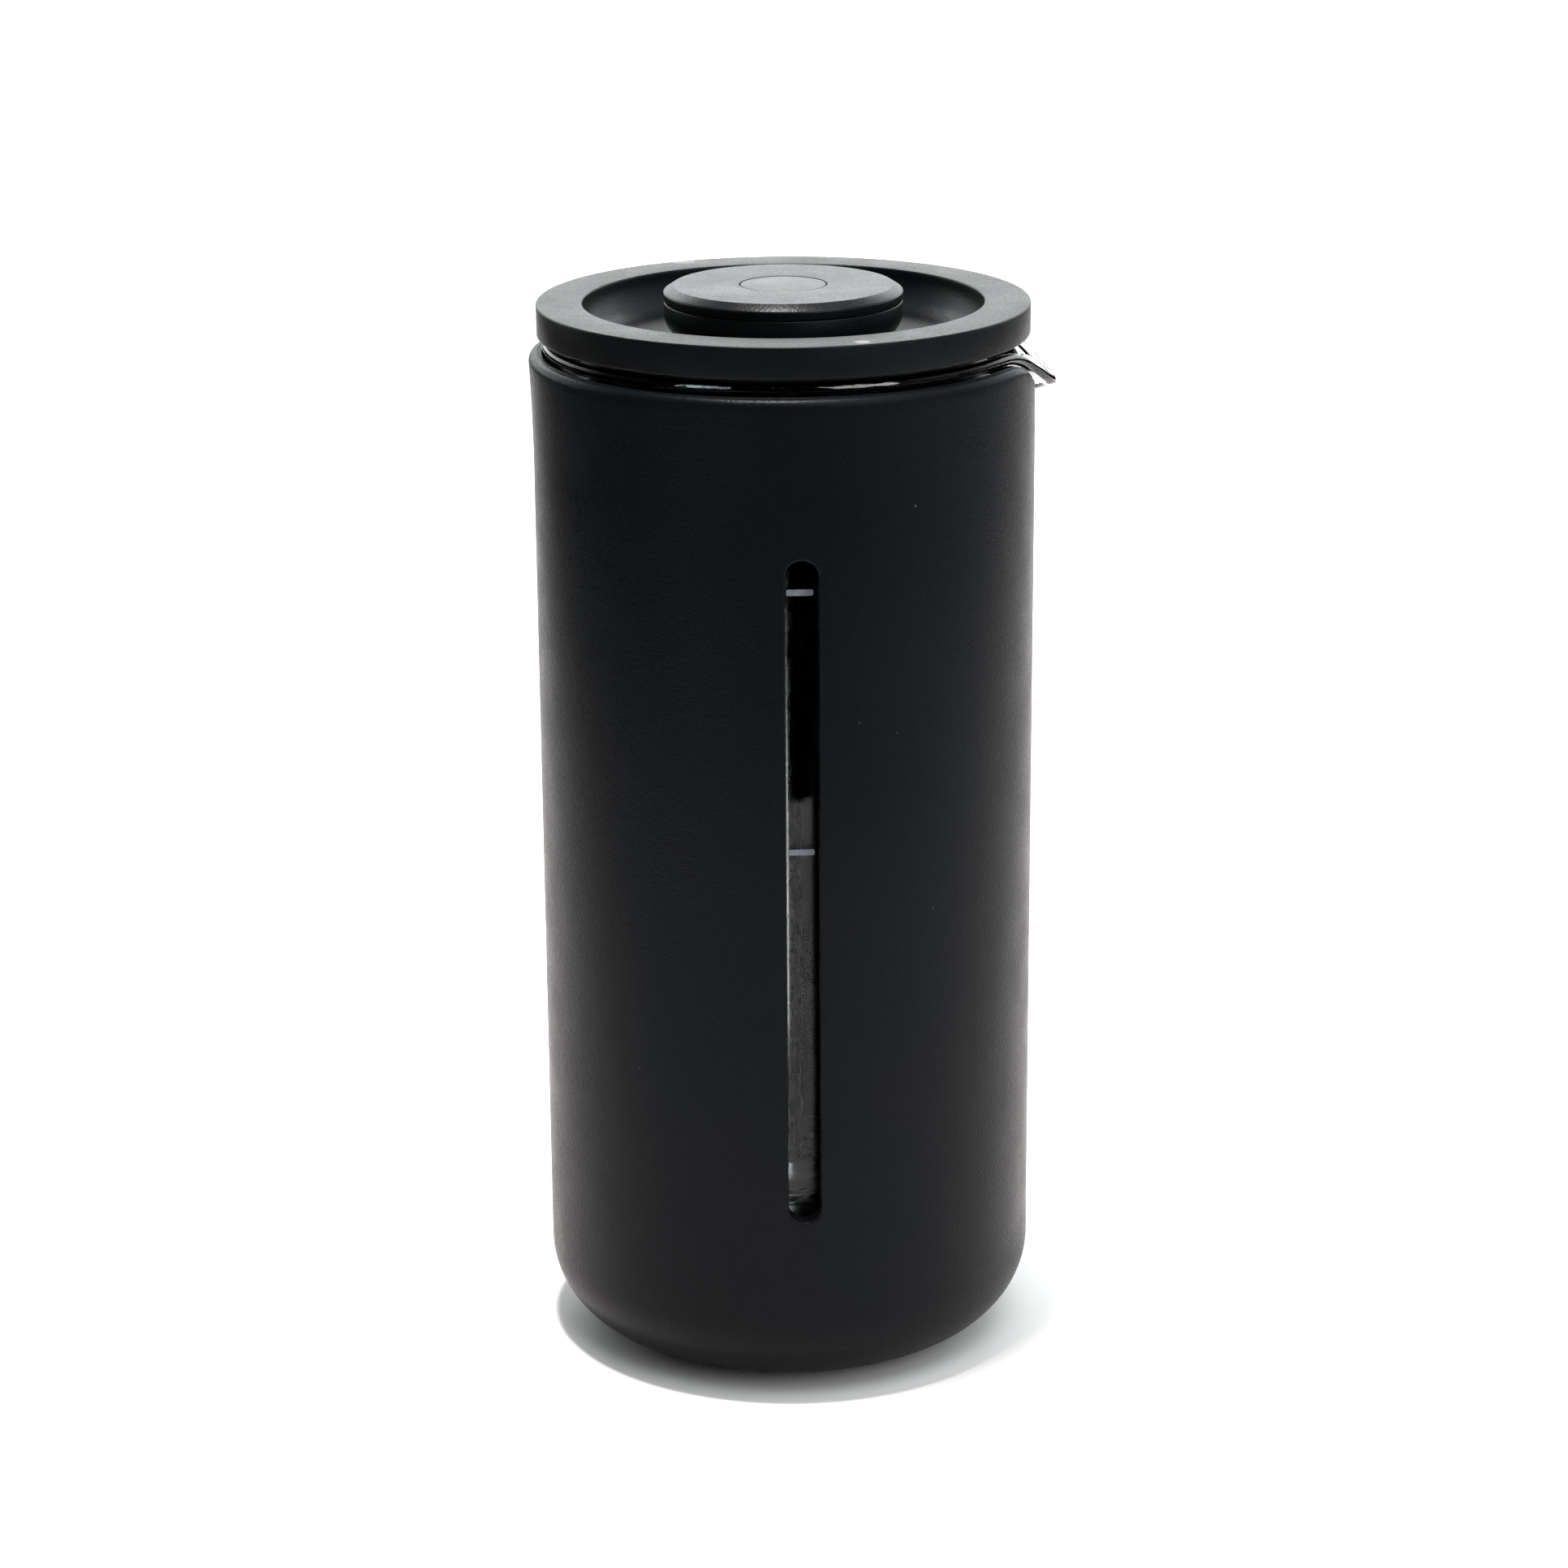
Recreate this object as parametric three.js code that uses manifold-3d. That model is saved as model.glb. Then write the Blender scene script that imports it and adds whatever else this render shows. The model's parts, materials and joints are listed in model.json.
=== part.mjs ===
// A personal french press: a moulded sleeve with a sight window around a spouted glass beaker, a lid with
// a finger recess, and a plunger whose knob lies in that recess when it is pressed down.
// Millimetres, +Z up. The origin is the centre of the face that the press stands on, the window faces -Y
// and the spout points along +X.
import * as THREE from "three";
import { mergeVertices } from "three/addons/utils/BufferGeometryUtils.js";
import Module from "manifold-3d";

const wasm = await Module();
wasm.setup();

// How finely round pieces are cut.
const ROUND = 40;
const MEDIUM = 28;
const SMALL = 20;
const SPOUT_STEP = 3;
const ROUND_STEP = 10;
const SPOUT_SPAN = 30;
const MOUTH_STEPS = 6;

// Sleeve.
const SLEEVE_R = 42;
const SLEEVE_WALL = 3.4;
const SLEEVE_BORE = SLEEVE_R - SLEEVE_WALL;
const FOOT_Z = 0.6;
const CORNER_R = 14.7;
const SLEEVE_FLOOR_Z = 4.2;
const CREST_Z = 173.3;
const SHOULDER_R = 1.4;
const INNER_EDGE_R = 0.45;
const CREST_LAND = 0.1;
const RIM_BORE = 40.1;
const RIM_BORE_Z = 162.3;
const BORE_STEP_Z = 160.8;
const FLARE_FROM_Z = 155;
const FLARE = 0.5;
const FLARE_POWER = 1.7;
const FLARE_RELIEF = 1.5;
const RELIEF_DEG = 20;
const SPOUT_GAP = 0.45;
const DIP_STEPS = 10;
const SKIN = 0.1;

// Sight window in the sleeve.
const WINDOW_WIDTH = 5.6;
const WINDOW_LOW_Z = 33.2;
const WINDOW_HIGH_Z = 147.1;
const CUTTER_DEPTH = 14;

// Silicone pieces between the sleeve, the floor and the glass.
const PAD_R = 24;
const PAD_EDGE = 0.4;
const PAD_POCKET = 0.3;
const PAD_TOP_Z = 1.6;
const CUSHION_R = 26;
const CUSHION_EDGE = 0.6;
const CUSHION_LOW_Z = 4.3;
const CUSHION_HIGH_Z = 6.8;
const GASKET_LOW_Z = 149.4;
const GASKET_HIGH_Z = 153.8;
const GASKET_CLEAR = 0.25;
const GASKET_LIP = 0.4;

// Glass beaker, drawn as a middle surface with half the wall on each side.
const GLASS_MID_R = 36;
const GLASS_HALF_WALL = 0.95;
const GLASS_BOTTOM_Z = 7;
const GLASS_FLOOR_Z = 9.4;
const GLASS_CORNER_R = 9;
const SPOUT_SIDE_DEG = 14.7;
const CHANNEL_DEG = 7;

// Heights and radii that guide the beaker's mouth, from the wall to the rim, and how the spout moves them.
const WALL_TOP_Z = 158;
const WALL_TOP_DIP = 3;
const THROAT_Z = 167.4;
const THROAT_DIP = 3.9;
const THROAT_REACH = 0.2;
const LIP_R = 37.2;
const LIP_Z = 172.5;
const LIP_REACH = 2.8;
const LIP_RISE = 9.1;
const CHANNEL_DROP = 15;
const RIM_R = 39.3;
const RIM_Z = 174.3;
const SPOUT_REACH = 5.6;
const SPOUT_DROP = 7.35;

// Lid.
const LID_R = 41.1;
const LID_TOP_Z = 181.4;
const LID_UNDER_Z = 176.15;
const LID_SEAT_R = 39.4;
const LID_SEAT_Z = 175.55;
const LID_EDGE_R = 0.5;
const RECESS_R = 33.4;
const RECESS_FLOOR_Z = 175;
const RECESS_FILLET = 5.4;
const DISH_WALL = 1.8;
const DISH_CORNER_R = 2.3;
const BUSH_CLEAR = 0.2;
const SKIRT_R = 33.9;
const SKIRT_BORE = 32.1;
const SKIRT_LOW_Z = 157;
const SKIRT_HIGH_Z = 172.9;
const SKIRT_EDGE = 0.5;
const SKIRT_TAPER = [1.2, 1.6];
const SKIRT_FLANGE = [3, 1.4];
const GROOVE_R = 33;
const GROOVE_LOW_Z = 158.6;
const GROOVE_HIGH_Z = 162;
const SEAL_R = 34.85;
const SEAL_CLEAR = 0.2;
const SEAL_BORE_CLEAR = 0.25;
const SEAL_ROOT = 0.55;
const SEAL_LIP = 0.5;
const SEAL_LIP_WIDTH = 1.1;
const STRAINER_SLOTS = 7;
const STRAINER_PITCH = 3.6;
const STRAINER_SLOT = [8, 1.8, 6.4];
const STRAINER_Z = 167.4;

// Rod and its guide.
const ROD_R = 2.45;
const THREAD_R = 1.9;
const ROD_SHOULDER_Z = 24.3;
const ROD_LOW_Z = 13.1;
const ROD_NECK_Z = 177.1;
const ROD_TOP_Z = 180.1;
const BUSH_BORE = 2.55;
const BUSH_R = 4.2;
const BUSH_LOW_Z = 168.8;
const BUSH_SHOULDER_Z = 175.1;
const BUSH_TOP_Z = 176;
const BUSH_FLANGE_R = 6.4;
const BUSH_EDGE = 0.3;
const ORING_GROOVE_R = 3.6;
const ORING_GROOVE_Z = [170.5, 171.6];
const ORING_MID = [3.06, 171.05];
const ORING_WIRE_R = 0.44;
const RETAINER_R = 8;
const RETAINER_Z = [172.3, 172.9];
const THREAD_CLEAR = 0.1;

// Knob.
const KNOB_R = 19.95;
const KNOB_TOP_Z = 184;
const KNOB_TOP_R = 18.3;
const KNOB_EDGE_Z = 182.95;
const KNOB_SEAM_Z = 181.4;
const KNOB_BOTTOM_Z = 175.2;
const KNOB_FILLET = 4.2;
const KNOB_INSET = 0.1;
const SEAM_HALF = 0.05;
const CAP_RIB_R = [15.2, 16.8];
const CAP_RIB_Z = 179.9;
const POCKET_R = 17;
const POCKET_Z = 178.3;
const HUB_R = 8;
const HUB_TOP_Z = 176.4;
const BOSS_R = 6.2;
const BOSS_BORE = 4.3;
const BOSS_Z = [177.2, 180.4];
const KNOB_ROD_CLEAR = 0.15;
const INSERT_R = 4.1;
const INSERT_Z = [177.3, 180.2];
const BADGE_R = 7.1;
const BADGE_THICK = 0.8;
const BADGE_SIDE_CLEAR = 0.2;
const BADGE_UNDER_CLEAR = 0.1;

// Filter stack, from the nut up.
const PLATE_R = 33.2;
const CROSS_PLATE_Z = [16, 17];
const LOWER_MESH_Z = [17.1, 17.5];
const WIPER_Z = [17.7, 20.8];
const SPACER_Z = [17.6, 20.9];
const UPPER_MESH_Z = [21, 21.4];
const TOP_PLATE_Z = [21.5, 22.6];
const COLLAR_Z = [24.4, 29];
const COLLAR_R = 6.2;
const COLLAR_TOP_R = 4.4;
const COLLAR_BAND = 2.2;
const COLLAR_CLEAR = 0.05;
const NUT_Z = [11.6, 15.8];
const NUT_R = 5.4;
const NUT_TIP_R = 4;
const NUT_CHAMFER = 1.2;
const STACK_HOLE_R = 2.1;
const SPACER_R = 5.5;
const PLATE_HUB_R = 8;
const MESH_INSET = 0.4;
const SPOKES = 6;
const OPENING_DEG = [8, 52];
const OPENING_R = [10, 28];
const OPENING_STEPS = 4;
const OUTER_DRAIN = { count: 10, pitchRadius: 24, radius: 2.4 };
const INNER_DRAIN = { count: 6, pitchRadius: 15, radius: 2.2 };
const DRAIN_SIDES = 6;
const WIPER_BORE = 31.4;
const WIPER_FLANK = 1.3;
const WIPER_LIP = 0.8;
const WIPER_WAIST = [0.7, 1.5];

const COLOURS = {
  black: { color: 0x1d2022, roughness: 0.62, metalness: 0 },
  knob: { color: 0x2a2c2e, roughness: 0.55, metalness: 0 },
  badge: { color: 0x8c8f91, roughness: 0.4, metalness: 0.3 },
  silicone: { color: 0x26282a, roughness: 0.8, metalness: 0 },
  clearSilicone: { color: 0xc9cccb, roughness: 0.6, metalness: 0 },
  glass: { color: 0xe6f0ef, roughness: 0.05, metalness: 0 },
  steel: { color: 0xb4b6b8, roughness: 0.3, metalness: 1 },
  mesh: { color: 0x9c9fa1, roughness: 0.45, metalness: 1 },
  brass: { color: 0xb08d4a, roughness: 0.35, metalness: 1 },
};

const press = new THREE.Group();

function add(name, geometry, look) {
  const mesh = new THREE.Mesh(geometry, new THREE.MeshStandardMaterial(COLOURS[look]));
  mesh.name = name;
  press.add(mesh);
}

const radians = THREE.MathUtils.degToRad;

function bell(degrees, width) {
  return Math.exp(-((degrees / width) ** 2));
}

// Points on an arc about [r, z], from one angle to another in degrees, both ends included.
function arc(centre, radius, from, to, steps) {
  return Array.from({ length: steps + 1 }, (_, i) => {
    const angle = radians(from + ((to - from) * i) / steps);
    return [centre[0] + radius * Math.cos(angle), centre[1] + radius * Math.sin(angle)];
  });
}

// Solid of revolution about Z. The [r, z] points run anticlockwise, from axis to axis or round to the start.
function turned(points, steps) {
  const profile = points.map(([r, z]) => new THREE.Vector2(r, z));
  return new THREE.LatheGeometry(profile, steps).rotateX(Math.PI / 2);
}

// A ring whose section is the given closed outline.
function ring(outline, steps) {
  return turned([...outline, outline[0]], steps);
}

// A plain tube section between two radii and two heights.
function tubeOutline(inner, outer, [low, high]) {
  return [[inner, low], [outer, low], [outer, high], [inner, high]];
}

// Directions round the axis in degrees from the spout, closer together near it.
function turnAngles() {
  const angles = [];
  for (let a = -SPOUT_SPAN; a < SPOUT_SPAN; a += SPOUT_STEP) angles.push(a);
  for (let a = SPOUT_SPAN; a < 360 - SPOUT_SPAN; a += ROUND_STEP) angles.push(a);
  return angles;
}

// Like turned(), but the profile may change with the direction.
function turnedBy(profileAt) {
  const angles = turnAngles();
  const sections = angles.map((a) => profileAt(a > 180 ? a - 360 : a));
  const rows = sections[0].length;
  const vertices = [];
  sections.forEach((section, i) => {
    const angle = radians(angles[i]);
    section.forEach(([r, z]) => vertices.push(r * Math.cos(angle), r * Math.sin(angle), z));
  });
  const faces = [];
  for (let i = 0; i < angles.length; i += 1) {
    const here = i * rows;
    const next = ((i + 1) % angles.length) * rows;
    for (let j = 0; j < rows - 1; j += 1) {
      if (sections[i][j][0] > 0) faces.push(here + j, next + j, here + j + 1);
      if (sections[i][j + 1][0] > 0) faces.push(next + j + 1, here + j + 1, next + j);
    }
  }
  const geometry = new THREE.BufferGeometry();
  geometry.setAttribute("position", new THREE.Float32BufferAttribute(vertices, 3));
  geometry.setIndex(faces);
  geometry.computeVertexNormals();
  return geometry;
}

// A closed mesh as a manifold-3d solid.
function solidOf(geometry) {
  const bare = geometry.clone();
  bare.deleteAttribute("normal");
  bare.deleteAttribute("uv");
  const merged = mergeVertices(bare, 1e-4);
  return new wasm.Manifold(new wasm.Mesh({
    numProp: 3,
    vertProperties: merged.getAttribute("position").array,
    triVerts: new Uint32Array(merged.index.array),
  }));
}

function geometryOf(solid) {
  const mesh = solid.getMesh();
  const geometry = new THREE.BufferGeometry();
  geometry.setAttribute("position", new THREE.BufferAttribute(mesh.vertProperties, 3));
  geometry.setIndex(new THREE.BufferAttribute(mesh.triVerts, 1));
  geometry.computeVertexNormals();
  return geometry;
}

function cut(geometry, tools) {
  return geometryOf(tools.reduce((body, tool) => body.subtract(solidOf(tool)), solidOf(geometry)));
}

// The middle line of the beaker's mouth in one direction: a Bezier curve from the straight wall to the rim.
function mouthCurve(degrees) {
  const side = bell(degrees, SPOUT_SIDE_DEG);
  const channel = bell(degrees, CHANNEL_DEG);
  return new THREE.CubicBezierCurve(
    new THREE.Vector2(GLASS_MID_R, WALL_TOP_Z - WALL_TOP_DIP * side),
    new THREE.Vector2(GLASS_MID_R + THROAT_REACH * side, THROAT_Z - THROAT_DIP * side),
    new THREE.Vector2(LIP_R + LIP_REACH * side, LIP_Z + LIP_RISE * side - CHANNEL_DROP * channel),
    new THREE.Vector2(RIM_R + SPOUT_REACH * side, RIM_Z - SPOUT_DROP * side),
  );
}

// The mouth's middle line moved sideways, outwards or down for a positive distance.
function mouthLine(degrees, distance) {
  const curve = mouthCurve(degrees);
  return Array.from({ length: MOUTH_STEPS + 1 }, (_, i) => {
    const point = curve.getPoint(i / MOUTH_STEPS);
    const along = curve.getTangent(i / MOUTH_STEPS);
    return [point.x + along.y * distance, point.y - along.x * distance];
  });
}

// The rounded edge of the glass, from its outer side to its inner side.
function mouthEdge(degrees) {
  const end = mouthCurve(degrees).getPoint(1);
  const along = mouthCurve(degrees).getTangent(1);
  return [45, 0, -45].map((turn) => {
    const reach = GLASS_HALF_WALL * Math.cos(radians(turn));
    const side = GLASS_HALF_WALL * Math.sin(radians(turn));
    return [end.x + along.x * reach + along.y * side, end.y + along.y * reach - along.x * side];
  });
}

// Lowest point of the glass above a radius that the mouth reaches, or Infinity past the rim.
function spoutUnderside(degrees, radius) {
  const line = [...mouthLine(degrees, GLASS_HALF_WALL), ...mouthEdge(degrees)];
  let lowest = Infinity;
  for (let i = 1; i < line.length; i += 1) {
    const [[r0, z0], [r1, z1]] = [line[i - 1], line[i]];
    if ((r0 - radius) * (r1 - radius) <= 0 && r0 !== r1) {
      lowest = Math.min(lowest, z0 + ((radius - r0) / (r1 - r0)) * (z1 - z0));
    }
  }
  return lowest;
}

function sleeveRadius(degrees, z) {
  const rise = Math.max(0, z - FLARE_FROM_Z) / (CREST_Z - SHOULDER_R - FLARE_FROM_Z);
  return SLEEVE_R + FLARE * rise ** FLARE_POWER * (1 - FLARE_RELIEF * bell(degrees, RELIEF_DEG));
}

// Height of the sleeve's crest, which dips under the glass's spout.
function crestHeight(degrees) {
  const reach = sleeveRadius(degrees, CREST_Z - SHOULDER_R) - RIM_BORE;
  const radii = Array.from({ length: DIP_STEPS + 1 }, (_, i) => RIM_BORE + (i / DIP_STEPS) * reach);
  return Math.min(CREST_Z, ...radii.map((radius) => spoutUnderside(degrees, radius) - SPOUT_GAP));
}

// The sleeve's rounded rim, from its outer wall over the crest to the wider bore.
function sleeveRim(degrees) {
  const crest = crestHeight(degrees);
  const outer = sleeveRadius(degrees, crest - SHOULDER_R);
  const shoulder = arc([outer - SHOULDER_R, crest - SHOULDER_R], SHOULDER_R, 0, 90, 4);
  const landR = RIM_BORE + INNER_EDGE_R;
  const inner = arc([landR, crest - INNER_EDGE_R], INNER_EDGE_R, 90, 180, 2);
  inner[0][0] = Math.min(landR, outer - SHOULDER_R - CREST_LAND);
  return [...shoulder, ...inner];
}

function sleeveProfile(degrees) {
  const rim = sleeveRim(degrees);
  const wall = [0, 0.4, 0.75].map((part) => {
    const z = FLARE_FROM_Z + part * (rim[0][1] - FLARE_FROM_Z);
    return [sleeveRadius(degrees, z), z];
  });
  const innerCorner = CORNER_R - SLEEVE_WALL;
  return [
    [0, PAD_TOP_Z + SKIN],
    [PAD_R + PAD_POCKET, PAD_TOP_Z + SKIN],
    [PAD_R + PAD_POCKET, FOOT_Z],
    ...arc([SLEEVE_R - CORNER_R, FOOT_Z + CORNER_R], CORNER_R, -90, 0, 6),
    ...wall,
    ...rim,
    [RIM_BORE, RIM_BORE_Z],
    [SLEEVE_BORE, BORE_STEP_Z],
    ...arc([SLEEVE_BORE - innerCorner, SLEEVE_FLOOR_Z + innerCorner], innerCorner, 0, -90, 4),
    [0, SLEEVE_FLOOR_Z],
  ];
}

// A slot with round ends that reaches through the front wall.
function windowCutter() {
  const half = WINDOW_WIDTH / 2;
  const outline = new THREE.Shape();
  outline.absarc(0, WINDOW_HIGH_Z - half, half, 0, Math.PI, false);
  outline.absarc(0, WINDOW_LOW_Z + half, half, Math.PI, 2 * Math.PI, false);
  const options = { depth: CUTTER_DEPTH, bevelEnabled: false, curveSegments: 10 };
  const inside = -(SLEEVE_BORE + SLEEVE_R - CUTTER_DEPTH) / 2;
  return new THREE.ExtrudeGeometry(outline, options).rotateX(Math.PI / 2).translate(0, inside, 0);
}

function buildSleeve() {
  add("sleeve", cut(turnedBy(sleeveProfile), [windowCutter()]), "black");
  add("base_pad", turned([
    [0, 0],
    [PAD_R - PAD_EDGE, 0],
    [PAD_R, PAD_EDGE],
    [PAD_R, PAD_TOP_Z],
    [0, PAD_TOP_Z],
  ], ROUND), "silicone");
  add("bottom_cushion", turned([
    [0, CUSHION_LOW_Z],
    [CUSHION_R, CUSHION_LOW_Z],
    [CUSHION_R, CUSHION_HIGH_Z - CUSHION_EDGE],
    [CUSHION_R - CUSHION_EDGE, CUSHION_HIGH_Z],
    [0, CUSHION_HIGH_Z],
  ], MEDIUM), "silicone");
  const lip = (GASKET_HIGH_Z - GASKET_LOW_Z) / 4;
  const inner = GLASS_MID_R + GLASS_HALF_WALL + GASKET_CLEAR;
  const outer = SLEEVE_BORE - GASKET_CLEAR;
  add("rim_gasket", ring([
    [inner + GASKET_LIP, GASKET_LOW_Z],
    [outer, GASKET_LOW_Z],
    [outer, GASKET_HIGH_Z],
    [inner + GASKET_LIP, GASKET_HIGH_Z],
    [inner, GASKET_HIGH_Z - lip],
    [inner + GASKET_LIP, GASKET_HIGH_Z - 2 * lip],
    [inner, GASKET_LOW_Z + lip],
  ], ROUND), "silicone");
}

function glassProfile(degrees) {
  const outerR = GLASS_MID_R + GLASS_HALF_WALL;
  const innerR = GLASS_MID_R - GLASS_HALF_WALL;
  const innerCorner = GLASS_CORNER_R - 2 * GLASS_HALF_WALL;
  return [
    [0, GLASS_BOTTOM_Z],
    ...arc([outerR - GLASS_CORNER_R, GLASS_BOTTOM_Z + GLASS_CORNER_R], GLASS_CORNER_R, -90, 0, 3),
    ...mouthLine(degrees, GLASS_HALF_WALL),
    ...mouthEdge(degrees),
    ...mouthLine(degrees, -GLASS_HALF_WALL).reverse(),
    ...arc([innerR - innerCorner, GLASS_FLOOR_Z + innerCorner], innerCorner, 0, -90, 3),
    [0, GLASS_FLOOR_Z],
  ];
}

function buildGlass() {
  add("glass_beaker", turnedBy(glassProfile), "glass");
}

function lidBodyOutline() {
  const edge = LID_EDGE_R;
  const floorUnderZ = RECESS_FLOOR_Z - DISH_WALL;
  const filletZ = RECESS_FLOOR_Z + RECESS_FILLET;
  const dishR = RECESS_R + DISH_WALL;
  return [
    [BUSH_R + BUSH_CLEAR, floorUnderZ],
    ...arc([dishR - DISH_CORNER_R, floorUnderZ + DISH_CORNER_R], DISH_CORNER_R, -90, 0, 3),
    [dishR, LID_SEAT_Z],
    [LID_SEAT_R, LID_SEAT_Z],
    [LID_SEAT_R, LID_UNDER_Z],
    ...arc([LID_R - edge, LID_UNDER_Z + edge], edge, -90, 0, 2),
    ...arc([LID_R - edge, LID_TOP_Z - edge], edge, 0, 90, 2),
    ...arc([RECESS_R + edge, LID_TOP_Z - edge], edge, 90, 180, 2),
    ...arc([RECESS_R - RECESS_FILLET, filletZ], RECESS_FILLET, 0, -90, 5),
    [BUSH_R + BUSH_CLEAR, RECESS_FLOOR_Z],
  ];
}

// Slots on both sides of the skirt, so that either can be turned to the spout.
function strainerCutters() {
  const cutters = [];
  for (let side = 0; side < 2; side += 1) {
    for (let i = 0; i < STRAINER_SLOTS; i += 1) {
      const turn = (i - (STRAINER_SLOTS - 1) / 2) * (STRAINER_PITCH / SKIRT_R) + side * Math.PI;
      const slot = new THREE.BoxGeometry(...STRAINER_SLOT);
      cutters.push(slot.translate(SKIRT_R - 1, 0, STRAINER_Z).rotateZ(turn));
    }
  }
  return cutters;
}

function lidSkirt() {
  const [taperIn, taperDown] = SKIRT_TAPER;
  const [flangeIn, flangeDown] = SKIRT_FLANGE;
  const wall = ring([
    [SKIRT_BORE, SKIRT_LOW_Z],
    [SKIRT_R - SKIRT_EDGE, SKIRT_LOW_Z],
    [SKIRT_R, SKIRT_LOW_Z + SKIRT_EDGE],
    [SKIRT_R, GROOVE_LOW_Z],
    [GROOVE_R, GROOVE_LOW_Z],
    [GROOVE_R, GROOVE_HIGH_Z],
    [SKIRT_R, GROOVE_HIGH_Z],
    [SKIRT_R, SKIRT_HIGH_Z - taperDown],
    [SKIRT_BORE - taperIn, SKIRT_HIGH_Z],
    [SKIRT_BORE - flangeIn, SKIRT_HIGH_Z],
    [SKIRT_BORE - flangeIn, SKIRT_HIGH_Z - flangeDown],
    [SKIRT_BORE, SKIRT_HIGH_Z - flangeDown],
  ], ROUND);
  return cut(wall, strainerCutters());
}

function lidSealOutline() {
  const inner = GROOVE_R + SEAL_BORE_CLEAR;
  const root = SEAL_R - SEAL_ROOT;
  const low = GROOVE_LOW_Z + SEAL_CLEAR;
  const high = GROOVE_HIGH_Z - SEAL_CLEAR;
  return [
    [inner, low],
    [root, low],
    [SEAL_R, low + SEAL_LIP],
    [root, low + SEAL_LIP_WIDTH],
    [root, high - SEAL_LIP_WIDTH],
    [SEAL_R, high - SEAL_LIP],
    [root, high],
    [inner, high],
  ];
}

function buildLid() {
  add("lid_body", ring(lidBodyOutline(), ROUND), "black");
  add("lid_skirt", lidSkirt(), "black");
  add("lid_seal", ring(lidSealOutline(), ROUND), "clearSilicone");
}

function buildRodGuide() {
  const [grooveLow, grooveHigh] = ORING_GROOVE_Z;
  add("rod_bush", ring([
    [BUSH_BORE, BUSH_LOW_Z],
    [BUSH_R, BUSH_LOW_Z],
    [BUSH_R, BUSH_SHOULDER_Z],
    [BUSH_FLANGE_R, BUSH_SHOULDER_Z],
    [BUSH_FLANGE_R, BUSH_TOP_Z - BUSH_EDGE],
    [BUSH_FLANGE_R - BUSH_EDGE, BUSH_TOP_Z],
    [BUSH_BORE, BUSH_TOP_Z],
    [BUSH_BORE, grooveHigh],
    [ORING_GROOVE_R, grooveHigh],
    [ORING_GROOVE_R, grooveLow],
    [BUSH_BORE, grooveLow],
  ], SMALL), "black");
  add("guide_oring", ring(arc(ORING_MID, ORING_WIRE_R, 0, 315, 7), SMALL), "silicone");
  add("bush_retainer", ring(tubeOutline(BUSH_R + THREAD_CLEAR, RETAINER_R, RETAINER_Z), SMALL), "steel");
}

function buildKnob() {
  const seamHigh = KNOB_SEAM_Z + SEAM_HALF;
  const seamLow = KNOB_SEAM_Z - SEAM_HALF;
  const badgeLow = KNOB_TOP_Z - BADGE_THICK;
  const [ribIn, ribOut] = CAP_RIB_R;
  const [bossLow, bossHigh] = BOSS_Z;
  const bodyR = KNOB_R - KNOB_INSET;
  add("knob_cap", turned([
    [0, seamHigh],
    [ribIn, seamHigh],
    [ribIn, CAP_RIB_Z],
    [ribOut, CAP_RIB_Z],
    [ribOut, seamHigh],
    [KNOB_R, seamHigh],
    [KNOB_R, KNOB_EDGE_Z],
    [KNOB_TOP_R, KNOB_TOP_Z],
    [BADGE_R + BADGE_SIDE_CLEAR, KNOB_TOP_Z],
    [BADGE_R + BADGE_SIDE_CLEAR, badgeLow - BADGE_UNDER_CLEAR],
    [0, badgeLow - BADGE_UNDER_CLEAR],
  ], ROUND), "knob");
  add("knob_badge", turned([
    [0, badgeLow],
    [BADGE_R, badgeLow],
    [BADGE_R, KNOB_TOP_Z],
    [0, KNOB_TOP_Z],
  ], MEDIUM), "badge");
  add("knob_body", ring([
    [HUB_R, KNOB_BOTTOM_Z],
    ...arc([bodyR - KNOB_FILLET, KNOB_BOTTOM_Z + KNOB_FILLET], KNOB_FILLET, -90, 0, 4),
    [bodyR, seamLow],
    [POCKET_R, seamLow],
    [POCKET_R, POCKET_Z],
    [BOSS_R, POCKET_Z],
    [BOSS_R, bossHigh],
    [BOSS_BORE, bossHigh],
    [BOSS_BORE, bossLow],
    [ROD_R + KNOB_ROD_CLEAR, bossLow],
    [ROD_R + KNOB_ROD_CLEAR, HUB_TOP_Z],
    [HUB_R, HUB_TOP_Z],
  ], MEDIUM), "knob");
  add("knob_insert", ring(tubeOutline(THREAD_R + THREAD_CLEAR, INSERT_R, INSERT_Z), SMALL), "brass");
}

function buildRod() {
  add("plunger_rod", turned([
    [0, ROD_LOW_Z],
    [THREAD_R, ROD_LOW_Z],
    [THREAD_R, ROD_SHOULDER_Z],
    [ROD_R, ROD_SHOULDER_Z],
    [ROD_R, ROD_NECK_Z],
    [THREAD_R, ROD_NECK_Z],
    [THREAD_R, ROD_TOP_Z],
    [0, ROD_TOP_Z],
  ], SMALL), "steel");
  const [collarLow, collarHigh] = COLLAR_Z;
  add("rod_collar", ring([
    [ROD_R + COLLAR_CLEAR, collarLow],
    [COLLAR_R, collarLow],
    [COLLAR_R, collarLow + COLLAR_BAND],
    [COLLAR_TOP_R, collarHigh],
    [ROD_R + COLLAR_CLEAR, collarHigh],
  ], SMALL), "steel");
}

// A flat disc between two heights, with a centre hole and any other holes given as shapes.
function plate(radius, [low, high], holes) {
  const outline = new THREE.Shape().absarc(0, 0, radius, 0, 2 * Math.PI, false);
  outline.holes = [new THREE.Path().absarc(0, 0, STACK_HOLE_R, 0, 2 * Math.PI, true), ...holes];
  const options = { depth: high - low, bevelEnabled: false, curveSegments: MEDIUM };
  return new THREE.ExtrudeGeometry(outline, options).translate(0, 0, low);
}

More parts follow.
